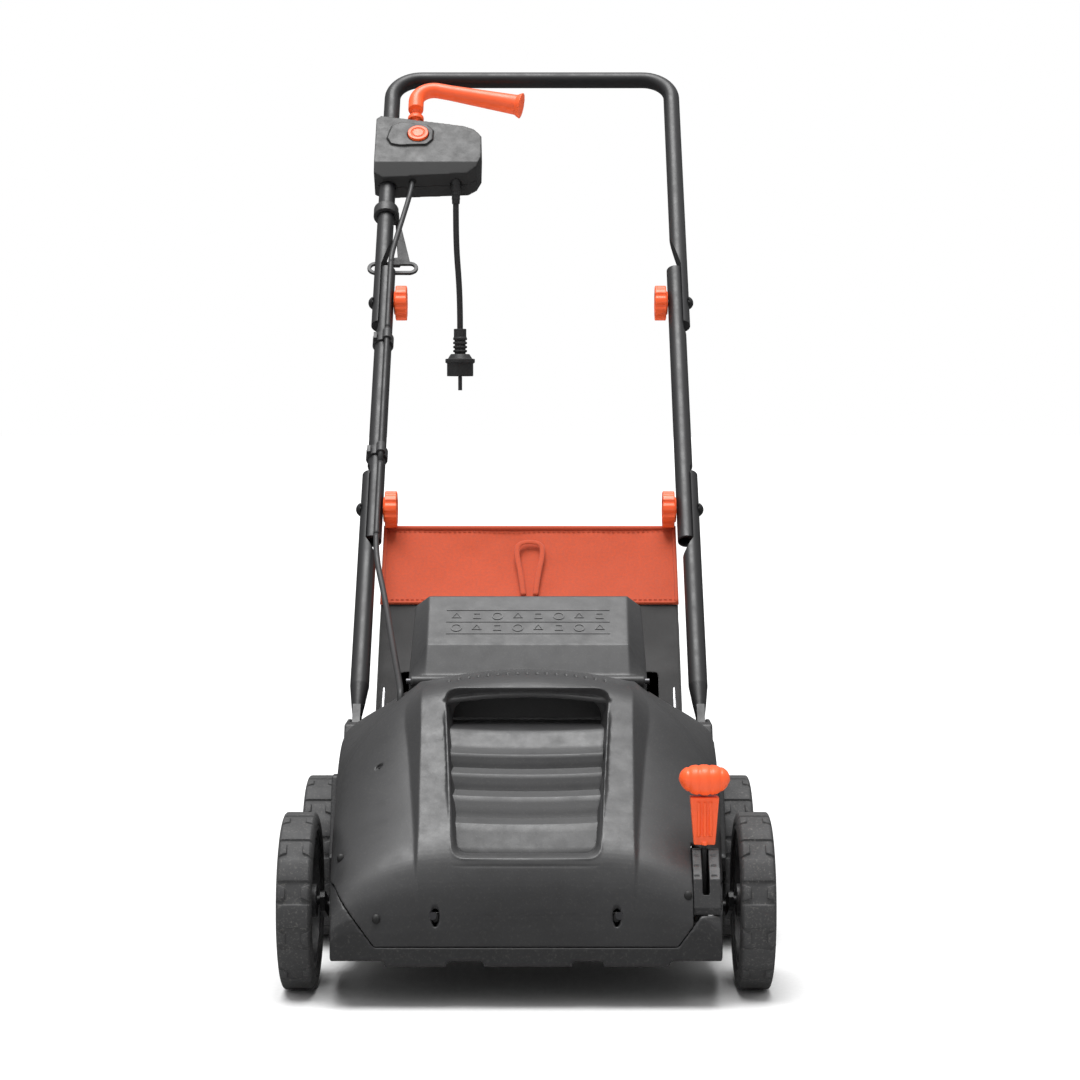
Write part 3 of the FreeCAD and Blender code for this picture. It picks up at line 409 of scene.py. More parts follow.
def smooth_rows(rows, step):
    """Rows between the given ones, about step apart along the middle line, on one smooth curve."""
    far = [0.0]
    for a, b in zip(rows, rows[1:]):
        far.append(far[-1] + math.hypot(b[0] - a[0], b[4] - a[4]))
    slopes = []
    for i in range(len(rows)):
        a, b = max(i - 1, 0), min(i + 1, len(rows) - 1)
        slopes.append([(q - p) / (far[b] - far[a]) for p, q in zip(rows[a], rows[b])])
    out = []
    for i in range(len(rows) - 1):
        gap = far[i + 1] - far[i]
        parts = max(1, round(gap / step))
        for k in range(parts):
            t = k / parts
            h = (2 * t ** 3 - 3 * t ** 2 + 1, t ** 3 - 2 * t ** 2 + t,
                 3 * t ** 2 - 2 * t ** 3, t ** 3 - t ** 2)
            out.append([h[0] * p + h[1] * gap * mp + h[2] * q + h[3] * gap * mq
                        for p, mp, q, mq in zip(rows[i], slopes[i], rows[i + 1], slopes[i + 1])])
    return out + [list(rows[-1])]


def hood_section(row):
    """Half a cross-section from the middle outwards, as (x, z)."""
    behind, wide, side, band, top, crown, drop, run = row
    flat = max(0.0, min(1.0, (behind - 0.09) / 0.05))     # the back shoulders are straighter
    out = [(band * k / 22, top + crown * (1 - (k / 22) ** 2)) for k in range(23)]
    out += [(band + run * k / 4, top - drop * k / 4) for k in range(1, 5)]
    start, end = Vector((band + run, top - drop)), Vector((wide, side))
    fall, reach = start.y - end.y, end.x - start.x
    first = start + Vector((reach * (0.42 - 0.08 * flat), -fall * (0.16 + 0.14 * flat)))
    second = end + Vector((-reach * (0.02 + 0.12 * flat), fall * (0.42 - 0.10 * flat)))
    for k in range(1, 27):
        t = k / 26
        p = (start * (1 - t) ** 3 + first * 3 * t * (1 - t) ** 2
             + second * 3 * t * t * (1 - t) + end * t ** 3)
        out.append((p.x, p.y))
    return out + [(wide, side + (HOOD_LOW - side) * k / 6) for k in range(1, 7)]


def hood_grid():
    rows = smooth_rows(HOOD_ROWS, 0.005)
    verts, faces = [], []
    sections = [[(x, row[0], z) for x, z in hood_section(row)] for row in rows]
    sections.insert(0, [(x, y, HOOD_LOW) for x, y, _ in sections[0]])
    for half in sections:
        verts += [at(-x, y, z) for x, y, z in half[:0:-1]] + [at(x, y, z) for x, y, z in half]
    count = 2 * len(sections[0]) - 1
    for i in range(len(sections) - 1):
        for k in range(count - 1):
            a = i * count + k
            faces.append((a, a + 1, a + count + 1, a + count))
    data = bpy.data.meshes.new("hood_grid")
    data.from_pydata(verts, [], faces)
    return data


class Solids:
    """Closed cutting or joining shapes collected in one mesh."""

    def __init__(self):
        self.mesh = bmesh.new()

    def prism(self, outline, shift):
        low = [self.mesh.verts.new(p) for p in outline]
        high = [self.mesh.verts.new(Vector(p) + Vector(shift)) for p in outline]
        self.mesh.faces.new(low[::-1])
        self.mesh.faces.new(high)
        for i in range(len(low)):
            k = (i + 1) % len(low)
            self.mesh.faces.new((low[i], low[k], high[k], high[i]))

    def box(self, a, b):
        (x0, y0, z0), (x1, y1, z1) = a, b
        self.prism([(x0, y0, z0), (x1, y0, z0), (x1, y1, z0), (x0, y1, z0)], (0, 0, z1 - z0))

    def egg(self, centre, size, turn=0.0):
        made = bmesh.ops.create_uvsphere(self.mesh, u_segments=16, v_segments=12, radius=1.0)["verts"]
        for v in made:
            x, z = v.co.x * size[0], v.co.z * size[2]
            v.co = Vector(centre) + Vector((x * math.cos(turn) - z * math.sin(turn), v.co.y * size[1],
                                            x * math.sin(turn) + z * math.cos(turn)))

    def rod(self, centre, axis, radius, length, count=12):
        across = axis.orthogonal().normalized()
        up = axis.cross(across)
        self.prism(ring_points(centre - axis * length / 2, across, up, radius, count), axis * length)

    def object(self, name):
        bmesh.ops.recalc_face_normals(self.mesh, faces=self.mesh.faces)
        data = bpy.data.meshes.new(name)
        self.mesh.to_mesh(data)
        self.mesh.free()
        return new_object(name, data)


def rounded(points, radius, parts=5):
    """A closed outline with its corners rounded; radius is one number or one for each corner."""
    out, n = [], len(points)
    for i in range(n):
        p, before, after = Vector(points[i]), Vector(points[i - 1]), Vector(points[(i + 1) % n])
        r = radius[i] if isinstance(radius, (list, tuple)) else radius
        if r <= 0:
            out.append(p)
            continue
        a, b = p + (before - p).normalized() * r, p + (after - p).normalized() * r
        for k in range(parts + 1):
            t = k / parts
            out.append(a * (1 - t) ** 2 + p * 2 * t * (1 - t) + b * t * t)
    return out


# front outline of the opening for the louvres and the carrying arch, (x, z) from the lower left corner
OPENING = ((-0.0750, 0.1460), (0.0750, 0.1460), (0.0870, 0.3020), (-0.0870, 0.3020))
OPENING_ROUND = (0.014, 0.014, 0.016, 0.016)
SEAM_CUT = ((-0.24, 0.01), (0.24, 0.01), (0.24, 0.1186), (0.1918, 0.1186), (0.1497, 0.0626),
            (-0.1497, 0.0626), (-0.1918, 0.1186), (-0.24, 0.1186))
GRIP_BACK = 0.066           # the arch starts this far behind the axle
VENT_ROWS, VENT_COUNT, VENT_STEP, VENT_X = (0.104, 0.110, 0.116), 17, 0.0103, -0.0825
NAME_PLATE = (0.073, 0.0930, 0.1405)      # half width and heights of the two fine grooves


def hood_cutters(surface_y):
    cut = Solids()
    cut.prism([at(x, -0.13, z) for x, z in SEAM_CUT], (0, 0.40, 0))
    cut.prism([at(p.x, -0.14, p.y) for p in rounded(OPENING, OPENING_ROUND)], (0, 0.14 + GRIP_BACK, 0))
    cut.box(at(-0.131, 0.160, 0.10), at(0.131, 0.27, 0.36))
    cut.box(at(0.165, -0.130, 0.03), at(0.193, -0.044, 0.20))
    cut.rod(at(-0.137, 0.152, 0.29), Vector((0, 0, 1)), 0.0046, 0.08)
    for i in range(VENT_COUNT):
        for y in VENT_ROWS:
            cut.rod(at(VENT_X + VENT_STEP * i, y, 0.31), Vector((0, 0, 1)), 0.0021, 0.05, 10)
    for s in (-1, 1):
        cut.egg(at(s * 0.0895, surface_y(s * 0.0895, 0.093), 0.093), (0.0046, 0.0050, 0.0115))
    cut.egg(at(-0.1530, surface_y(-0.153, 0.222), 0.222), (0.0022, 0.004, 0.0052), -0.9)
    half, low, high = NAME_PLATE
    steps = 12
    for z in (low, high):
        for k in range(steps):
            x0, x1 = -half + 2 * half * k / steps, -half + 2 * half * (k + 1) / steps
            y = surface_y((x0 + x1) / 2, z)
            cut.box(at(x0, y - 0.01, z - 0.0008), at(x1, y + 0.0012, z + 0.0008))
    return cut.object("hood_cutters")


def make_hood():
    data = hood_grid()
    tree = BVHTree.FromPolygons([v.co for v in data.vertices], [tuple(p.vertices) for p in data.polygons])

    def surface_y(x, z):
        hit = tree.ray_cast(at(x, -0.4, z), Vector((0, 1, 0)))[0]
        return hit.y - AXLE_Y

    hood = new_object("hood_shell", data)
    wall = hood.modifiers.new("wall", "SOLIDIFY")
    wall.thickness, wall.offset = HOOD_WALL, -1
    applied(hood)
    cutters = hood_cutters(surface_y)
    cut = hood.modifiers.new("openings", "BOOLEAN")
    cut.operation, cut.solver, cut.object, cut.use_self = "DIFFERENCE", "EXACT", cutters, True
    applied(hood)
    bpy.data.objects.remove(cutters)
    surround = make_surround(surface_y)
    skin(hood, 0.0011, 3, 0.3, [surround])
    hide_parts("hood")
    finish_piece(hood, "housing", "dark_grey_plastic")
    make_panel()
    # screw domes in and on the hood, coloured darker than the black plastic: painted shade of the screw holes
    domes = Solids()
    for x, z in ((-0.1475, 0.0900), (-0.1862, 0.1405), (0.1600, 0.1120)):
        domes.egg(at(x, surface_y(x, z) - 0.0002, z), (0.0042, 0.0030, 0.0050))
    for s in (-1, 1):
        domes.egg(at(s * 0.0895, surface_y(s * 0.0895, 0.093) + 0.0035, 0.091), (0.0036, 0.0016, 0.0050))
    finish_piece(domes.object("hood_screws_painted_hole_shade"), "housing", "black_plastic", SCREW_HOLE_SHADE)


def make_surround(surface_y):
    """Slanted walls from the opening's edge in to the louvre panel, and the rounded lip under the arch."""
    outer = rounded(OPENING, OPENING_ROUND)
    inner_outline = ((-0.0700, 0.1500), (0.0700, 0.1500), (0.0800, 0.2900), (-0.0800, 0.2900))
    inner = rounded(inner_outline, (0.013, 0.013, 0.026, 0.026))
    rings = []
    for outline, share in ((outer, 0.0), (inner, 1.0)):
        ring = []
        for p in outline:
            if p.y > 0.262:
                y = GRIP_BACK - 0.001 + 0.011 * share
            else:
                y = surface_y(p.x * (1.04 if not share else 1.1), p.y) + 0.0005 + 0.010 * share
            ring.append(at(p.x, min(y, GRIP_BACK + 0.010), p.y))
        rings.append(ring)
    n = len(outer)
    middle = [a.lerp(b, 0.5) - Vector((0, 0.0016 if p.y < 0.262 else 0, 0)) for a, b, p in zip(*rings, outer)]
    verts = rings[0] + middle + rings[1]
    faces = [(r * n + i, r * n + (i + 1) % n, (r + 1) * n + (i + 1) % n, (r + 1) * n + i)
             for r in range(2) for i in range(n)]
    data = bpy.data.meshes.new("surround")
    data.from_pydata(verts, [], faces)
    ring = new_object("surround", data)
    wall = ring.modifiers.new("wall", "SOLIDIFY")
    wall.thickness, wall.offset = 0.0030, 0
    return applied(ring)


PANEL_LOW, PANEL_HIGH = (-0.0705, 0.1480), (0.0480, 0.2600)      # lower and upper edge of the slanted panel
LEDGES = (0.1770, 0.2010, 0.2210, 0.2390)                       # heights of the slats' upper edges


def make_panel():
    """Slanted louvre panel, the floor of the hand pocket and its back wall."""
    slope = (PANEL_HIGH[0] - PANEL_LOW[0]) / (PANEL_HIGH[1] - PANEL_LOW[1])

    def on_slope(z, out=0.0):
        return (PANEL_LOW[0] + (z - PANEL_LOW[1]) * slope - out, z)

    profile = [on_slope(PANEL_LOW[1], -0.004), on_slope(PANEL_LOW[1] + 0.001, 0.0)]
    last = PANEL_LOW[1] + 0.001
    for z in LEDGES:
        profile += [on_slope(last + (z - last) * k / 4, 0.0085 * k / 4) for k in range(1, 5)]
        profile += [on_slope(z + 0.0006, 0.0083), on_slope(z + 0.0045, -0.0006)]
        last = z + 0.0045
    profile += [on_slope(last + (PANEL_HIGH[1] - last) * k / 4, -0.001 + 0.001 * k / 4) for k in range(1, 5)]
    profile += [(0.053, 0.2615), (0.070, 0.2625), (0.102, 0.2640), (0.1045, 0.2665), (0.1050, 0.2960)]
    verts, faces, across = [], [], 40
    for k in range(across + 1):
        u = -1 + 2 * k / across
        for y, z in profile:
            wide = 0.0712 + (z - PANEL_LOW[1]) * 0.078
            corner = 0.013
            d = min(z - PANEL_LOW[1], corner)
            wide += math.sqrt(max(0, corner ** 2 - (corner - d) ** 2)) - corner if z < 0.262 else 0
            sag = 0.0022 * (1 - u * u) if z < 0.262 else 0
            verts.append(at(u * wide, y, z - sag * min(1, max(0, (z - PANEL_LOW[1]) / 0.02))))
    n = len(profile)
    for k in range(across):
        faces += [(k * n + i, (k + 1) * n + i, (k + 1) * n + i + 1, k * n + i + 1) for i in range(n - 1)]
    data = bpy.data.meshes.new("louvre_slats")
    data.from_pydata(verts, [], faces)
    panel = new_object("louvre_slats", data)
    wall = panel.modifiers.new("wall", "SOLIDIFY")
    wall.thickness, wall.offset = 0.0026, -1
    applied(panel)
    edge = panel.modifiers.new("edge", "BEVEL")
    edge.width, edge.segments, edge.limit_method, edge.angle_limit = 0.0006, 2, "ANGLE", 0.7
    applied(panel)
    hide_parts("louvre_panel")
    finish_piece(panel, "housing", "dark_grey_plastic")


# ---- wheels
TREAD_PERIODS = 12
PERIOD = 2 * math.pi / TREAD_PERIODS
# edges of the tread blocks in a period
BLOCK, PAD_LOW, PAD_HIGH = (math.radians(a) for a in (7.5, 9.5, 20.5))
TREAD_DEPTH, PAD_INNER = 0.0020, 0.008


def tread_columns():
    """Angles of one period with what they do: (angle, inside a full block, inside a side pad, lean)."""
    step = math.radians(0.35)
    return ([(-BLOCK - step, 0, 0, 0), (-BLOCK + step, 1, 0, 0), (-BLOCK / 2, 1, 0, 0), (0, 1, 0, 0),
             (BLOCK / 2, 1, 0, 0), (BLOCK - step, 1, 0, 0), (BLOCK + step, 0, 0, 0)]
            + [(PAD_LOW - step, 0, 0, 1), (PAD_LOW + step, 0, 1, 1), ((PAD_LOW + PAD_HIGH) / 2, 0, 1, 0),
               (PAD_HIGH - step, 0, 1, -1), (PAD_HIGH + step, 0, 0, -1)])


def make_tyre(where):
    node = "tyre_" + where
    low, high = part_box(node)
    centre, half, top = (low + high) / 2, (high.x - low.x) / 2, (high.z - low.z) / 2
    base = top - TREAD_DEPTH
    # distance from the middle plane, radius, share of the block's height there
    side = [(half - 0.003, 0.0702, 0), (half - 0.0012, 0.0712, 0), (half - 0.0004, 0.0732, 0),
            (half - 0.0004, 0.0756, 0), (half - 0.0011, 0.0760, 0), (half - 0.0011, 0.0768, 0),
            (half - 0.0004, 0.0772, 0), (half - 0.0002, 0.0800, 0), (half - 0.0006, 0.0828, 0.15),
            (half - 0.0012, 0.0845, 0.5), (half - 0.0022, 0.0864, 0.9), (half - 0.0036, base - 0.0003, 1),
            (PAD_INNER + 0.004, base, 1), (PAD_INNER + 0.0004, base, 1), (PAD_INNER - 0.0004, base, 0),
            (0.004, base, 0)]
    profile = [(-x, r, s) for x, r, s in side] + [(0, base, 0)] + [(x, r, s) for x, r, s in side[::-1]]
    profile += [(half - 0.003, 0.0690, 0), (-half + 0.003, 0.0690, 0)]
    verts, faces, count = [], [], len(profile)
    columns = [(PERIOD * i - math.pi / 2 + a, block, pad, tilt) for i in range(TREAD_PERIODS)
               for a, block, pad, tilt in tread_columns()]
    for a, block, pad, tilt in columns:
        for x, r, share in profile:
            lift = 1.0 if r >= base - 0.0004 else share
            grown = TREAD_DEPTH * (lift * block + (share * pad if abs(x) > PAD_INNER else 0))
            angle = a + tilt * math.radians(2.2) * max(0, 1 - (abs(x) - PAD_INNER) / 0.009)
            verts.append(centre + Vector((x, (r + grown) * math.cos(angle), (r + grown) * math.sin(angle))))
    total = len(columns)
    for i in range(total):
        a, b = i * count, ((i + 1) % total) * count
        faces += [(a + k, b + k, b + (k + 1) % count, a + (k + 1) % count) for k in range(count)]
    tyre = mesh_piece("tyre_" + where + "_tread", verts, faces, None, "tyre")
    rounded = tyre.modifiers.new("rounded", "BEVEL")
    rounded.width, rounded.segments, rounded.limit_method, rounded.angle_limit = 0.0004, 2, "ANGLE", 0.6
    applied(tyre)
    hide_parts(node)
    finish_piece(tyre, "wheel_" + where, "tyre")


# ---- collection bag
BAG_X = 0.1768
BAG_SEAM, BAG_EDGE = (0.451, 0.361), (0.532, 0.448)        # lower seam and top edge of the orange panel
BAG_FLOOR = 0.064                                          # the cloth hangs no lower than this
MOUTH_BACK, MOUTH_LOW, MOUTH_HIGH, MOUTH_HALF = 0.40, 0.092, 0.286, 0.150
SIDE_REACH, SIDE_BULGE, SLACK_FROM, SLACK_OVER = 0.17, 0.006, 0.42, 0.12
CLOTH, SAG, DRAPE_FRAMES = 0.0015, 0.012, 24               # wall, farthest move of a point, simulated frames
BAG_SIDE = [(0.345, 0.092), (0.345, 0.240), BAG_SEAM, BAG_EDGE, (0.552, 0.451), (0.755, 0.429),
            (0.835, 0.392), (0.868, 0.330), (0.883, 0.250), (0.878, 0.165), (0.846, 0.102), (0.785, 0.075),
            (0.380, 0.068)]


def along_outline(points, step, soft):
    """Points about step apart round a closed outline; corners in soft are rounded."""
    out = []
    n = len(points)
    for i, p in enumerate(points):
        p, q = Vector(p), Vector(points[(i + 1) % n])
        parts = max(1, round((q - p).length / step))
        out += [(p.lerp(q, k / parts), i if k == 0 else None) for k in range(parts)]
    for _ in range(3):
        eased = []
        for k, (p, mark) in enumerate(out):
            kept = mark is not None and mark not in soft
            around = out[k - 1][0] + 2 * p + out[(k + 1) % len(out)][0]
            eased.append((p if kept else around / 4, mark))
        out = eased
    return out


def make_bag():
    """Dark cloth body, open at its mouth and where the orange panel is sewn in."""
    step = 0.009
    sharp = {2, 3}
    outline = along_outline(BAG_SIDE, step, set(range(len(BAG_SIDE))) - sharp)
    across = max(8, round(2 * BAG_X / step))
    centre = Vector((0.0, 0.0))
    for p, _ in outline:
        centre += p / len(outline)
    data = bmesh.new()
    uv = data.loops.layers.uv.new("cloth")
    n = len(outline)
    grid = []
    for j in range(across + 1):
        x = -BAG_X + 2 * BAG_X * j / across
        grid.append([data.verts.new(at(x, p.x, p.y)) for p, _ in outline])
    distance = [0.0]
    for i in range(n):
        distance.append(distance[-1] + (outline[(i + 1) % n][0] - outline[i][0]).length)

    def quad(corners, places):
        face = data.faces.new(corners)
        for loop, place in zip(face.loops, places):
            loop[uv].uv = place
        return face

    for j in range(across):
        x0, x1 = -BAG_X + 2 * BAG_X * j / across, -BAG_X + 2 * BAG_X * (j + 1) / across
        for i in range(n):
            k = (i + 1) % n
            middle = (outline[i][0] + outline[k][0]) / 2
            mouth = (middle.x < MOUTH_BACK and MOUTH_LOW < middle.y < MOUTH_HIGH
                     and abs((x0 + x1) / 2) < MOUTH_HALF)
            panel = is_panel(outline[i][0], outline[k][0])
            if not mouth and not panel:
                quad([grid[j][i], grid[j][k], grid[j + 1][k], grid[j + 1][i]],
                     [(x0, distance[i]), (x0, distance[i + 1]), (x1, distance[i + 1]), (x1, distance[i])])
    rings = max(5, round(SIDE_REACH / step))
    for side, row in ((-1, grid[0]), (1, grid[across])):
        last = row
        for r in range(1, rings + 1):
            share = r / rings
            now = []
            for i, (p, _) in enumerate(outline):
                q = p.lerp(centre, share * 0.98)
                bulge = SIDE_BULGE * math.sin(math.pi * share / 2)
                now.append(data.verts.new(at(side * (BAG_X + bulge * side_slack(q)), q.x, q.y)))
            for i in range(n):
                k = (i + 1) % n
                corners = [last[i], now[i], now[k], last[k]]
                places = [(v.co.y, v.co.z) for v in corners]
                quad(corners if side > 0 else corners[::-1], places if side > 0 else places[::-1])
            last = now
        data.faces.new(last if side > 0 else last[::-1])
    bmesh.ops.remove_doubles(data, verts=[v for row in grid for v in row], dist=1e-6)
    loose = [v for v in data.verts if not v.link_faces]
    bmesh.ops.delete(data, geom=loose, context="VERTS")
    bmesh.ops.recalc_face_normals(data, faces=data.faces)
    mesh = bpy.data.meshes.new("bag_cloth")
    data.to_mesh(mesh)
    data.free()
    bag = new_object("bag_cloth", mesh)
    drape(bag)
    thicken(bag, CLOTH)
    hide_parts("bag_fabric")
    finish_piece(bag, "bag", "dark_fabric")


def drape(bag):
    """Lets the slightly oversized cloth sag between its sewn seams and the edges of its openings."""
    seams = bag.vertex_groups.new(name="seams")
    rest = [v.co.copy() for v in bag.data.vertices]
    open_edges = {}
    for face in bag.data.polygons:
        for key in face.edge_keys:
            open_edges[key] = open_edges.get(key, 0) + 1
    held = {k for key, uses in open_edges.items() if uses == 1 for k in key}
    held |= {i for i, p in enumerate(rest) if abs(abs(p.x) - BAG_X) < 1e-5}
    seams.add(sorted(held), 1.0, "REPLACE")
    cloth = bag.modifiers.new("cloth", "CLOTH")
    how = cloth.settings
    how.quality, how.mass, how.air_damping = 6, 0.12, 4.0
    how.tension_stiffness = how.compression_stiffness = 18.0
    how.shear_stiffness, how.bending_stiffness = 6.0, 0.4
    how.vertex_group_mass, how.shrink_min = "seams", -0.014
    cloth.collision_settings.use_self_collision = False
    cloth.point_cache.frame_end = DRAPE_FRAMES
    for f in range(1, DRAPE_FRAMES + 1):
        bpy.context.scene.frame_set(f)
    applied(bag)
    bpy.context.scene.frame_set(1)
    for v, home in zip(bag.data.vertices, rest):
        move = v.co - home
        if move.length > SAG:
            move *= SAG / move.length
        v.co = home + move
        v.co.x = max(-BAG_X, min(BAG_X, v.co.x))
        v.co.z = max(v.co.z, BAG_FLOOR)


def thicken(obj, wall):
    """Gives a cloth its two faces and a softer surface."""
    made = obj.modifiers.new("cloth", "SOLIDIFY")
    made.thickness, made.offset = wall, -1
    round_off = obj.modifiers.new("soft", "SUBSURF")
    round_off.levels = round_off.render_levels = 1
    applied(obj)


PANEL_LONG = math.hypot(BAG_EDGE[0] - BAG_SEAM[0], BAG_EDGE[1] - BAG_SEAM[1])
PANEL_UP = Vector((0, BAG_EDGE[0] - BAG_SEAM[0], BAG_EDGE[1] - BAG_SEAM[1])) / PANEL_LONG
PANEL_OUT = Vector((0, -PANEL_UP.z, PANEL_UP.y))
PANEL_HOLLOW = 0.0042                                      # how far the middle of the panel is drawn in
HEM, LOWER_SEAM, PIPING = 0.0031, 0.0022, 0.0024           # radii of the panel's edges
STITCHES, STITCH_STEP, STITCH_THICK, STITCH_LONG = 58, 0.006, 0.00045, 0.0036


def on_panel(x, up, out=0.0):
    """A point of the orange panel: across, up from its lower seam, and out from it."""
    return at(x, BAG_SEAM[0], BAG_SEAM[1]) + PANEL_UP * up + PANEL_OUT * out


def make_front_panel():
    """Orange woven panel with its hem, side piping and stitches, and the strap sewn to its lower seam."""
    across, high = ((70, 26))
    verts, faces = [], []
    for j in range(high + 1):
        t = j / high
        for i in range(across + 1):
            u = -1 + 2 * i / across
            fold = (noise.noise(Vector((u * 5.0, t * 1.6, 3.7))) * 0.0022
                    + noise.noise(Vector((u * 17.0, t * 5, 1.2))) * 0.0006)
            hollow = -PANEL_HOLLOW * math.sin(math.pi * t) * (1 - u ** 4)
            edge = min(1, (1 - abs(u)) * 14) * min(1, t * 8, (1 - t) * 8)
            verts.append(on_panel(u * BAG_X, t * PANEL_LONG, 0.0012 + hollow + fold * edge))
    wide = across + 1
    faces = [(j * wide + i, j * wide + i + 1, (j + 1) * wide + i + 1, (j + 1) * wide + i)
             for j in range(high) for i in range(across)]
    panel = mesh_piece("bag_panel_cloth", verts, faces, None, "orange_fabric")
    uv = panel.data.uv_layers.new(name="cloth")
    for loop in panel.data.loops:
        k = loop.vertex_index
        uv.data[loop.index].uv = ((k % wide) / across * 2 * BAG_X, (k // wide) / high * PANEL_LONG)
    thicken(panel, CLOTH)
    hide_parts("bag_front_panel")
    finish_piece(panel, "bag", "orange_fabric")
    trim = bpy.data.meshes.new("bag_trim")
    parts = bmesh.new()

    def put(points, radius, squeeze=1.0, side=None, count=10):
        made, walls = swept(points, radius, count, squeeze, side)
        corners = [parts.verts.new(p) for p in made]
        for wall in walls:
            parts.faces.new([corners[k] for k in wall])

    put([on_panel(BAG_X * (-1 + k / 20), PANEL_LONG - 0.0015, 0.0012) for k in range(41)], HEM)
    put([on_panel(BAG_X * (-1 + k / 20), 0.0015, 0.0012) for k in range(41)], LOWER_SEAM)
    for s in (-1, 1):
        put([on_panel(s * (BAG_X - 0.0022), PANEL_LONG * k / 20, 0.0014) for k in range(21)], PIPING)
    parts.to_mesh(trim)
    parts.free()
    piping = finish_piece(new_object("bag_piping", trim), "bag", "orange_fabric")
    stitches = Solids()
    for i in range(STITCHES):
        x = -BAG_X + 0.008 + i * STITCH_STEP
        for up in (0.0062, PANEL_LONG - 0.0070):
            p = on_panel(x, up, 0.0022 - PANEL_HOLLOW * math.sin(math.pi * up / PANEL_LONG))
            stitches.rod(p, Vector((1, 0, 0)), STITCH_THICK, STITCH_LONG, 6)
    sewn = finish_piece(stitches.object("bag_stitches"), "bag", "orange_fabric")
    path = [on_panel(x, up, 0.0045) for x, up in STRAP]
    line = curve_through(path)
    verts, faces = swept(line, 0.0031, 12, 0.34, Vector((1, 0, 0)))
    strap = mesh_piece("bag_strap_ribbon", verts, faces, None, "orange_fabric")
    ribbon_uv = strap.data.uv_layers.new(name="cloth")
    for loop in strap.data.loops:
        ring, k = divmod(loop.vertex_index, 12)
        ribbon_uv.data[loop.index].uv = (0.0062 * abs(k - 6) / 6, ring * 0.002)
    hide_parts("bag_strap")
    finish_piece(strap, "bag", "orange_fabric")


STRAP = ((-0.007, 0.010), (-0.010, 0.040), (-0.0165, 0.078), (-0.012, 0.093), (0.012, 0.093), (0.0165, 0.078),
         (0.010, 0.040), (0.007, 0.010))


def is_panel(p, q):
    """Whether a stretch of the bag's outline lies on the orange panel."""
    m = (p + q) / 2
    t = (m.x - BAG_SEAM[0]) / (BAG_EDGE[0] - BAG_SEAM[0])
    on = abs(m.y - (BAG_SEAM[1] + (BAG_EDGE[1] - BAG_SEAM[1]) * t)) < 0.002
    return on and 0 <= t <= 1


def side_slack(q):
    """Share of the side's bulge at a point: none beside the tubes, all of it behind them."""
    return max(0.0, min(1.0, (q.x - SLACK_FROM) / SLACK_OVER))


# ---- machine cable beside the left tubes
CABLE_X, CABLE_BEHIND, CABLE_WIDE = -0.183, -0.014, 0.0070
UPPER_BEND, LOWER_BEND = (0.754, 0.632), (0.402, 0.285)      # ends of the two bends, up along the handle


def cable_length(name, points, nodes, body):
    """One length of the cable; a bend has no body yet."""
    verts, faces = swept(points, CABLE_WIDE / 2, 14)
    piece = mesh_piece(name, verts, faces, body, "cable_rubber")
    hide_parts(*nodes)
    return piece


def straight(top, low, parts):
    return [lean(CABLE_X, CABLE_BEHIND, top + (low - top) * k / parts) for k in range(parts + 1)]


def make_machine_cable():
    top, low = UPPER_BEND[0], LOWER_BEND[1]
    upper = curve_through([lean(-0.160, -0.009, 0.926), lean(-0.160, -0.009, 0.905),
                           lean(-0.166, -0.013, 0.862), lean(-0.179, -0.014, 0.790),
                           lean(CABLE_X, CABLE_BEHIND, 0.762), lean(CABLE_X, CABLE_BEHIND, top)])
    cable_length("cable_upper", upper, ["machine_cable_upper"], "upper_section")
    bend = cable_length("cable_upper_bend", straight(*UPPER_BEND, 24), ["machine_cable_upper_bend"], None)
    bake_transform(bend)
    cable_length("cable_middle", straight(UPPER_BEND[1], LOWER_BEND[0], 12), ["machine_cable_middle"],
                 "middle_section")
    bend = cable_length("cable_lower_bend", straight(*LOWER_BEND, 24), ["machine_cable_lower_bend"], None)
    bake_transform(bend)
    lower = curve_through([lean(CABLE_X, CABLE_BEHIND, low), lean(CABLE_X, CABLE_BEHIND, 0.255),
                           at(-0.168, 0.400, 0.372), at(-0.151, 0.280, 0.318), at(-0.138, 0.170, 0.292),
                           at(-0.137, 0.152, 0.284), at(-0.137, 0.151, 0.262)])
    cable_length("cable_lower", lower, ["machine_cable_lower"], "housing")


# ---- raised marks on the flap's bright face: two rows between thin lines
FLAP_LOW, FLAP_TOP = (0.190, 0.336), (0.258, 0.3845)
MARK_LINES, MARK_ROWS, LINE_HALF, LINE_THICK = (0.018, 0.038, 0.058), (0.028, 0.048), 0.090, 0.0004
MARK_COUNT, MARK_FIRST, MARK_STEP, MARK_OUTER, MARK_INNER = 8, -0.0788, 0.0225, 0.0062, 0.0048
MARK_SIDES = (20, 3, 4)                                    # ring, triangle and square in turn


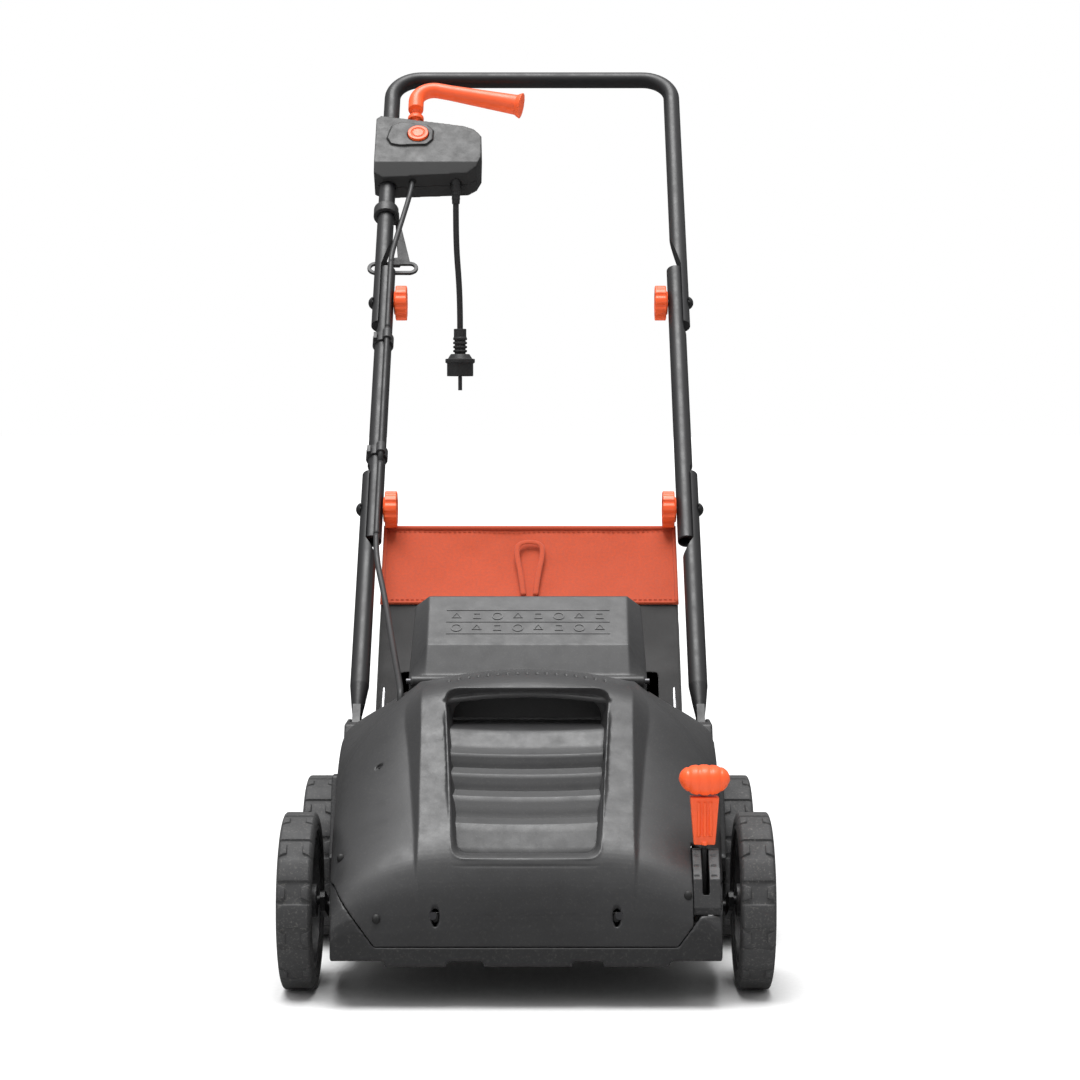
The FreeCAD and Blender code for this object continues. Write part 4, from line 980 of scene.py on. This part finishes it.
def make_flap_marks():
    long = math.hypot(FLAP_TOP[0] - FLAP_LOW[0], FLAP_TOP[1] - FLAP_LOW[1])
    up = Vector((0, FLAP_TOP[0] - FLAP_LOW[0], FLAP_TOP[1] - FLAP_LOW[1])) / long
    out = Vector((0, -up.z, up.y))

    def spot(x, s, lift):
        return at(x, FLAP_LOW[0], FLAP_LOW[1]) + up * s + out * lift

    marks = Solids()
    for s in MARK_LINES:
        outline = ((-LINE_HALF, -LINE_THICK), (LINE_HALF, -LINE_THICK), (LINE_HALF, LINE_THICK),
                   (-LINE_HALF, LINE_THICK))
        marks.prism([spot(x, s + d, -0.001) for x, d in outline], out * 0.0016)
    for row, s in enumerate(MARK_ROWS):
        for i in range(MARK_COUNT):
            x, sides = MARK_FIRST + MARK_STEP * i, MARK_SIDES[(i + row) % 3]
            for k in range(sides):
                a0, a1 = (2 * math.pi * (k + j) / sides + (math.pi / 2 if sides == 3 else math.pi / 4)
                          for j in (0, 1))
                ring = [spot(x + r * math.cos(a), s + r * math.sin(a), -0.001)
                        for r, a in ((MARK_OUTER, a0), (MARK_OUTER, a1), (MARK_INNER, a1), (MARK_INNER, a0))]
                marks.prism(ring, out * 0.0017)
    finish_piece(marks.object("flap_marks"), "discharge_flap", "dark_grey_plastic", smooth=False)


GRIP_FLUTES = (-0.62, -0.21, 0.21, 0.62)        # grooves across the grip, as shares of its half width


def make_grip():
    """Bulbous head of the depth lever with grooves that run over its crown from front to back."""
    low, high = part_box("depth_grip")
    half = (high - low) / 2
    centre = (low + high) / 2 - Vector((0, 0, 0.001))
    half.z += 0.001
    around, levels = 96, 48
    verts = []

    def bulged(value, power):
        return math.copysign(abs(value) ** power, value)

    for j in range(1, levels):
        tilt = math.pi * (j / levels - 0.5)
        for i in range(around):
            turn = 2 * math.pi * i / around
            x = bulged(math.cos(tilt), 0.72) * bulged(math.cos(turn), 0.80)
            y = bulged(math.cos(tilt), 0.72) * bulged(math.sin(turn), 0.80)
            z = bulged(math.sin(tilt), 0.80)
            x *= 1 - 0.20 * max(0, -z)
            dip = sum(math.exp(-((x - g) / 0.055) ** 2) for g in GRIP_FLUTES) * 0.075
            verts.append(centre + Vector((x * half.x, y * half.y * (1 - dip), z * half.z * (1 - dip))))
    faces = [(j * around + i, j * around + (i + 1) % around, (j + 1) * around + (i + 1) % around,
              (j + 1) * around + i) for j in range(levels - 2) for i in range(around)]
    faces += [tuple(range(around))[::-1], tuple((levels - 2) * around + i for i in range(around))]
    grip = mesh_piece("grip_head", verts, faces, "height_lever", "orange_plastic")
    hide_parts("depth_grip")


def darken_below(obj, height, look):
    """Gives the faces below a height a second material."""
    obj.data.materials.append(look)
    for face in obj.data.polygons:
        if face.center.z < height:
            face.material_index = 1


# ---- carried-over CAD nodes
DARK_METAL = ("housing_screws", "flap_pin", "plug_pins", "foot_screws")
NODE_SLOT = {row["node"]: row["material_slot"] for row in frame["record"]["subparts"]}


def dress_cad_nodes():
    for name, obj in NODES.items():
        obj.data.materials.clear()
        obj.data.materials.append(DARK_STEEL if name in DARK_METAL else LOOK[NODE_SLOT[name]])


make_camera()
dress_cad_nodes()
lead = make_lead()
moulded("boot_skin", ["lead_boot"], "upper_section", "cable_rubber", 0.0005, 2)
plug = moulded("plug_skin", ["plug_body"], "upper_section", "cable_rubber", 0.0007, 2)
make_hood()
moulded("flap_shell", ["rear_flap"], "discharge_flap", "dark_grey_plastic", 0.0014, 3)
moulded("chassis_shell", ["chassis"], "housing", "black_plastic", 0.0018, 3)
moulded("scale_pod_skin", ["depth_scale_pod"], "housing", "black_plastic", 0.0007, 2)
make_grip()
lever = moulded("lever_skin", ["depth_lever"], "height_lever", "orange_plastic", 0.0008, 3)
darken_below(lever, 0.157, LOOK["black_plastic"])
moulded("bail_skin", ["bail_lever"], "bail", "orange_plastic", 0.0009, 6)
moulded("box_front_skin", ["switch_box_front"], "upper_section", "black_plastic", 0.0010, 5, look=BOX_PLASTIC)
moulded("box_back_skin", ["switch_box_back"], "upper_section", "black_plastic", 0.0010, 5, look=BOX_PLASTIC)
moulded("button_skin", ["safety_button"], "button", "orange_plastic", 0.0006, 2)
moulded("hook_skin", ["cord_hook"], "hook", "black_plastic", 0.0007, 3)
for side in ("left", "right"):
    for row in ("lower", "upper"):
        knob = "knob_" + row + "_" + side
        moulded(knob + "_skin", [knob], "star_" + knob, "orange_plastic", 0.0008, 3)
    for end in ("front", "rear"):
        make_tyre(end + "_" + side)
        rim = "rim_" + end + "_" + side
        moulded(rim + "_skin", [rim], "wheel_" + end + "_" + side, "rim_plastic", 0.0010, 2)
make_bag()
make_front_panel()
make_machine_cable()
make_flap_marks()
make_studio()
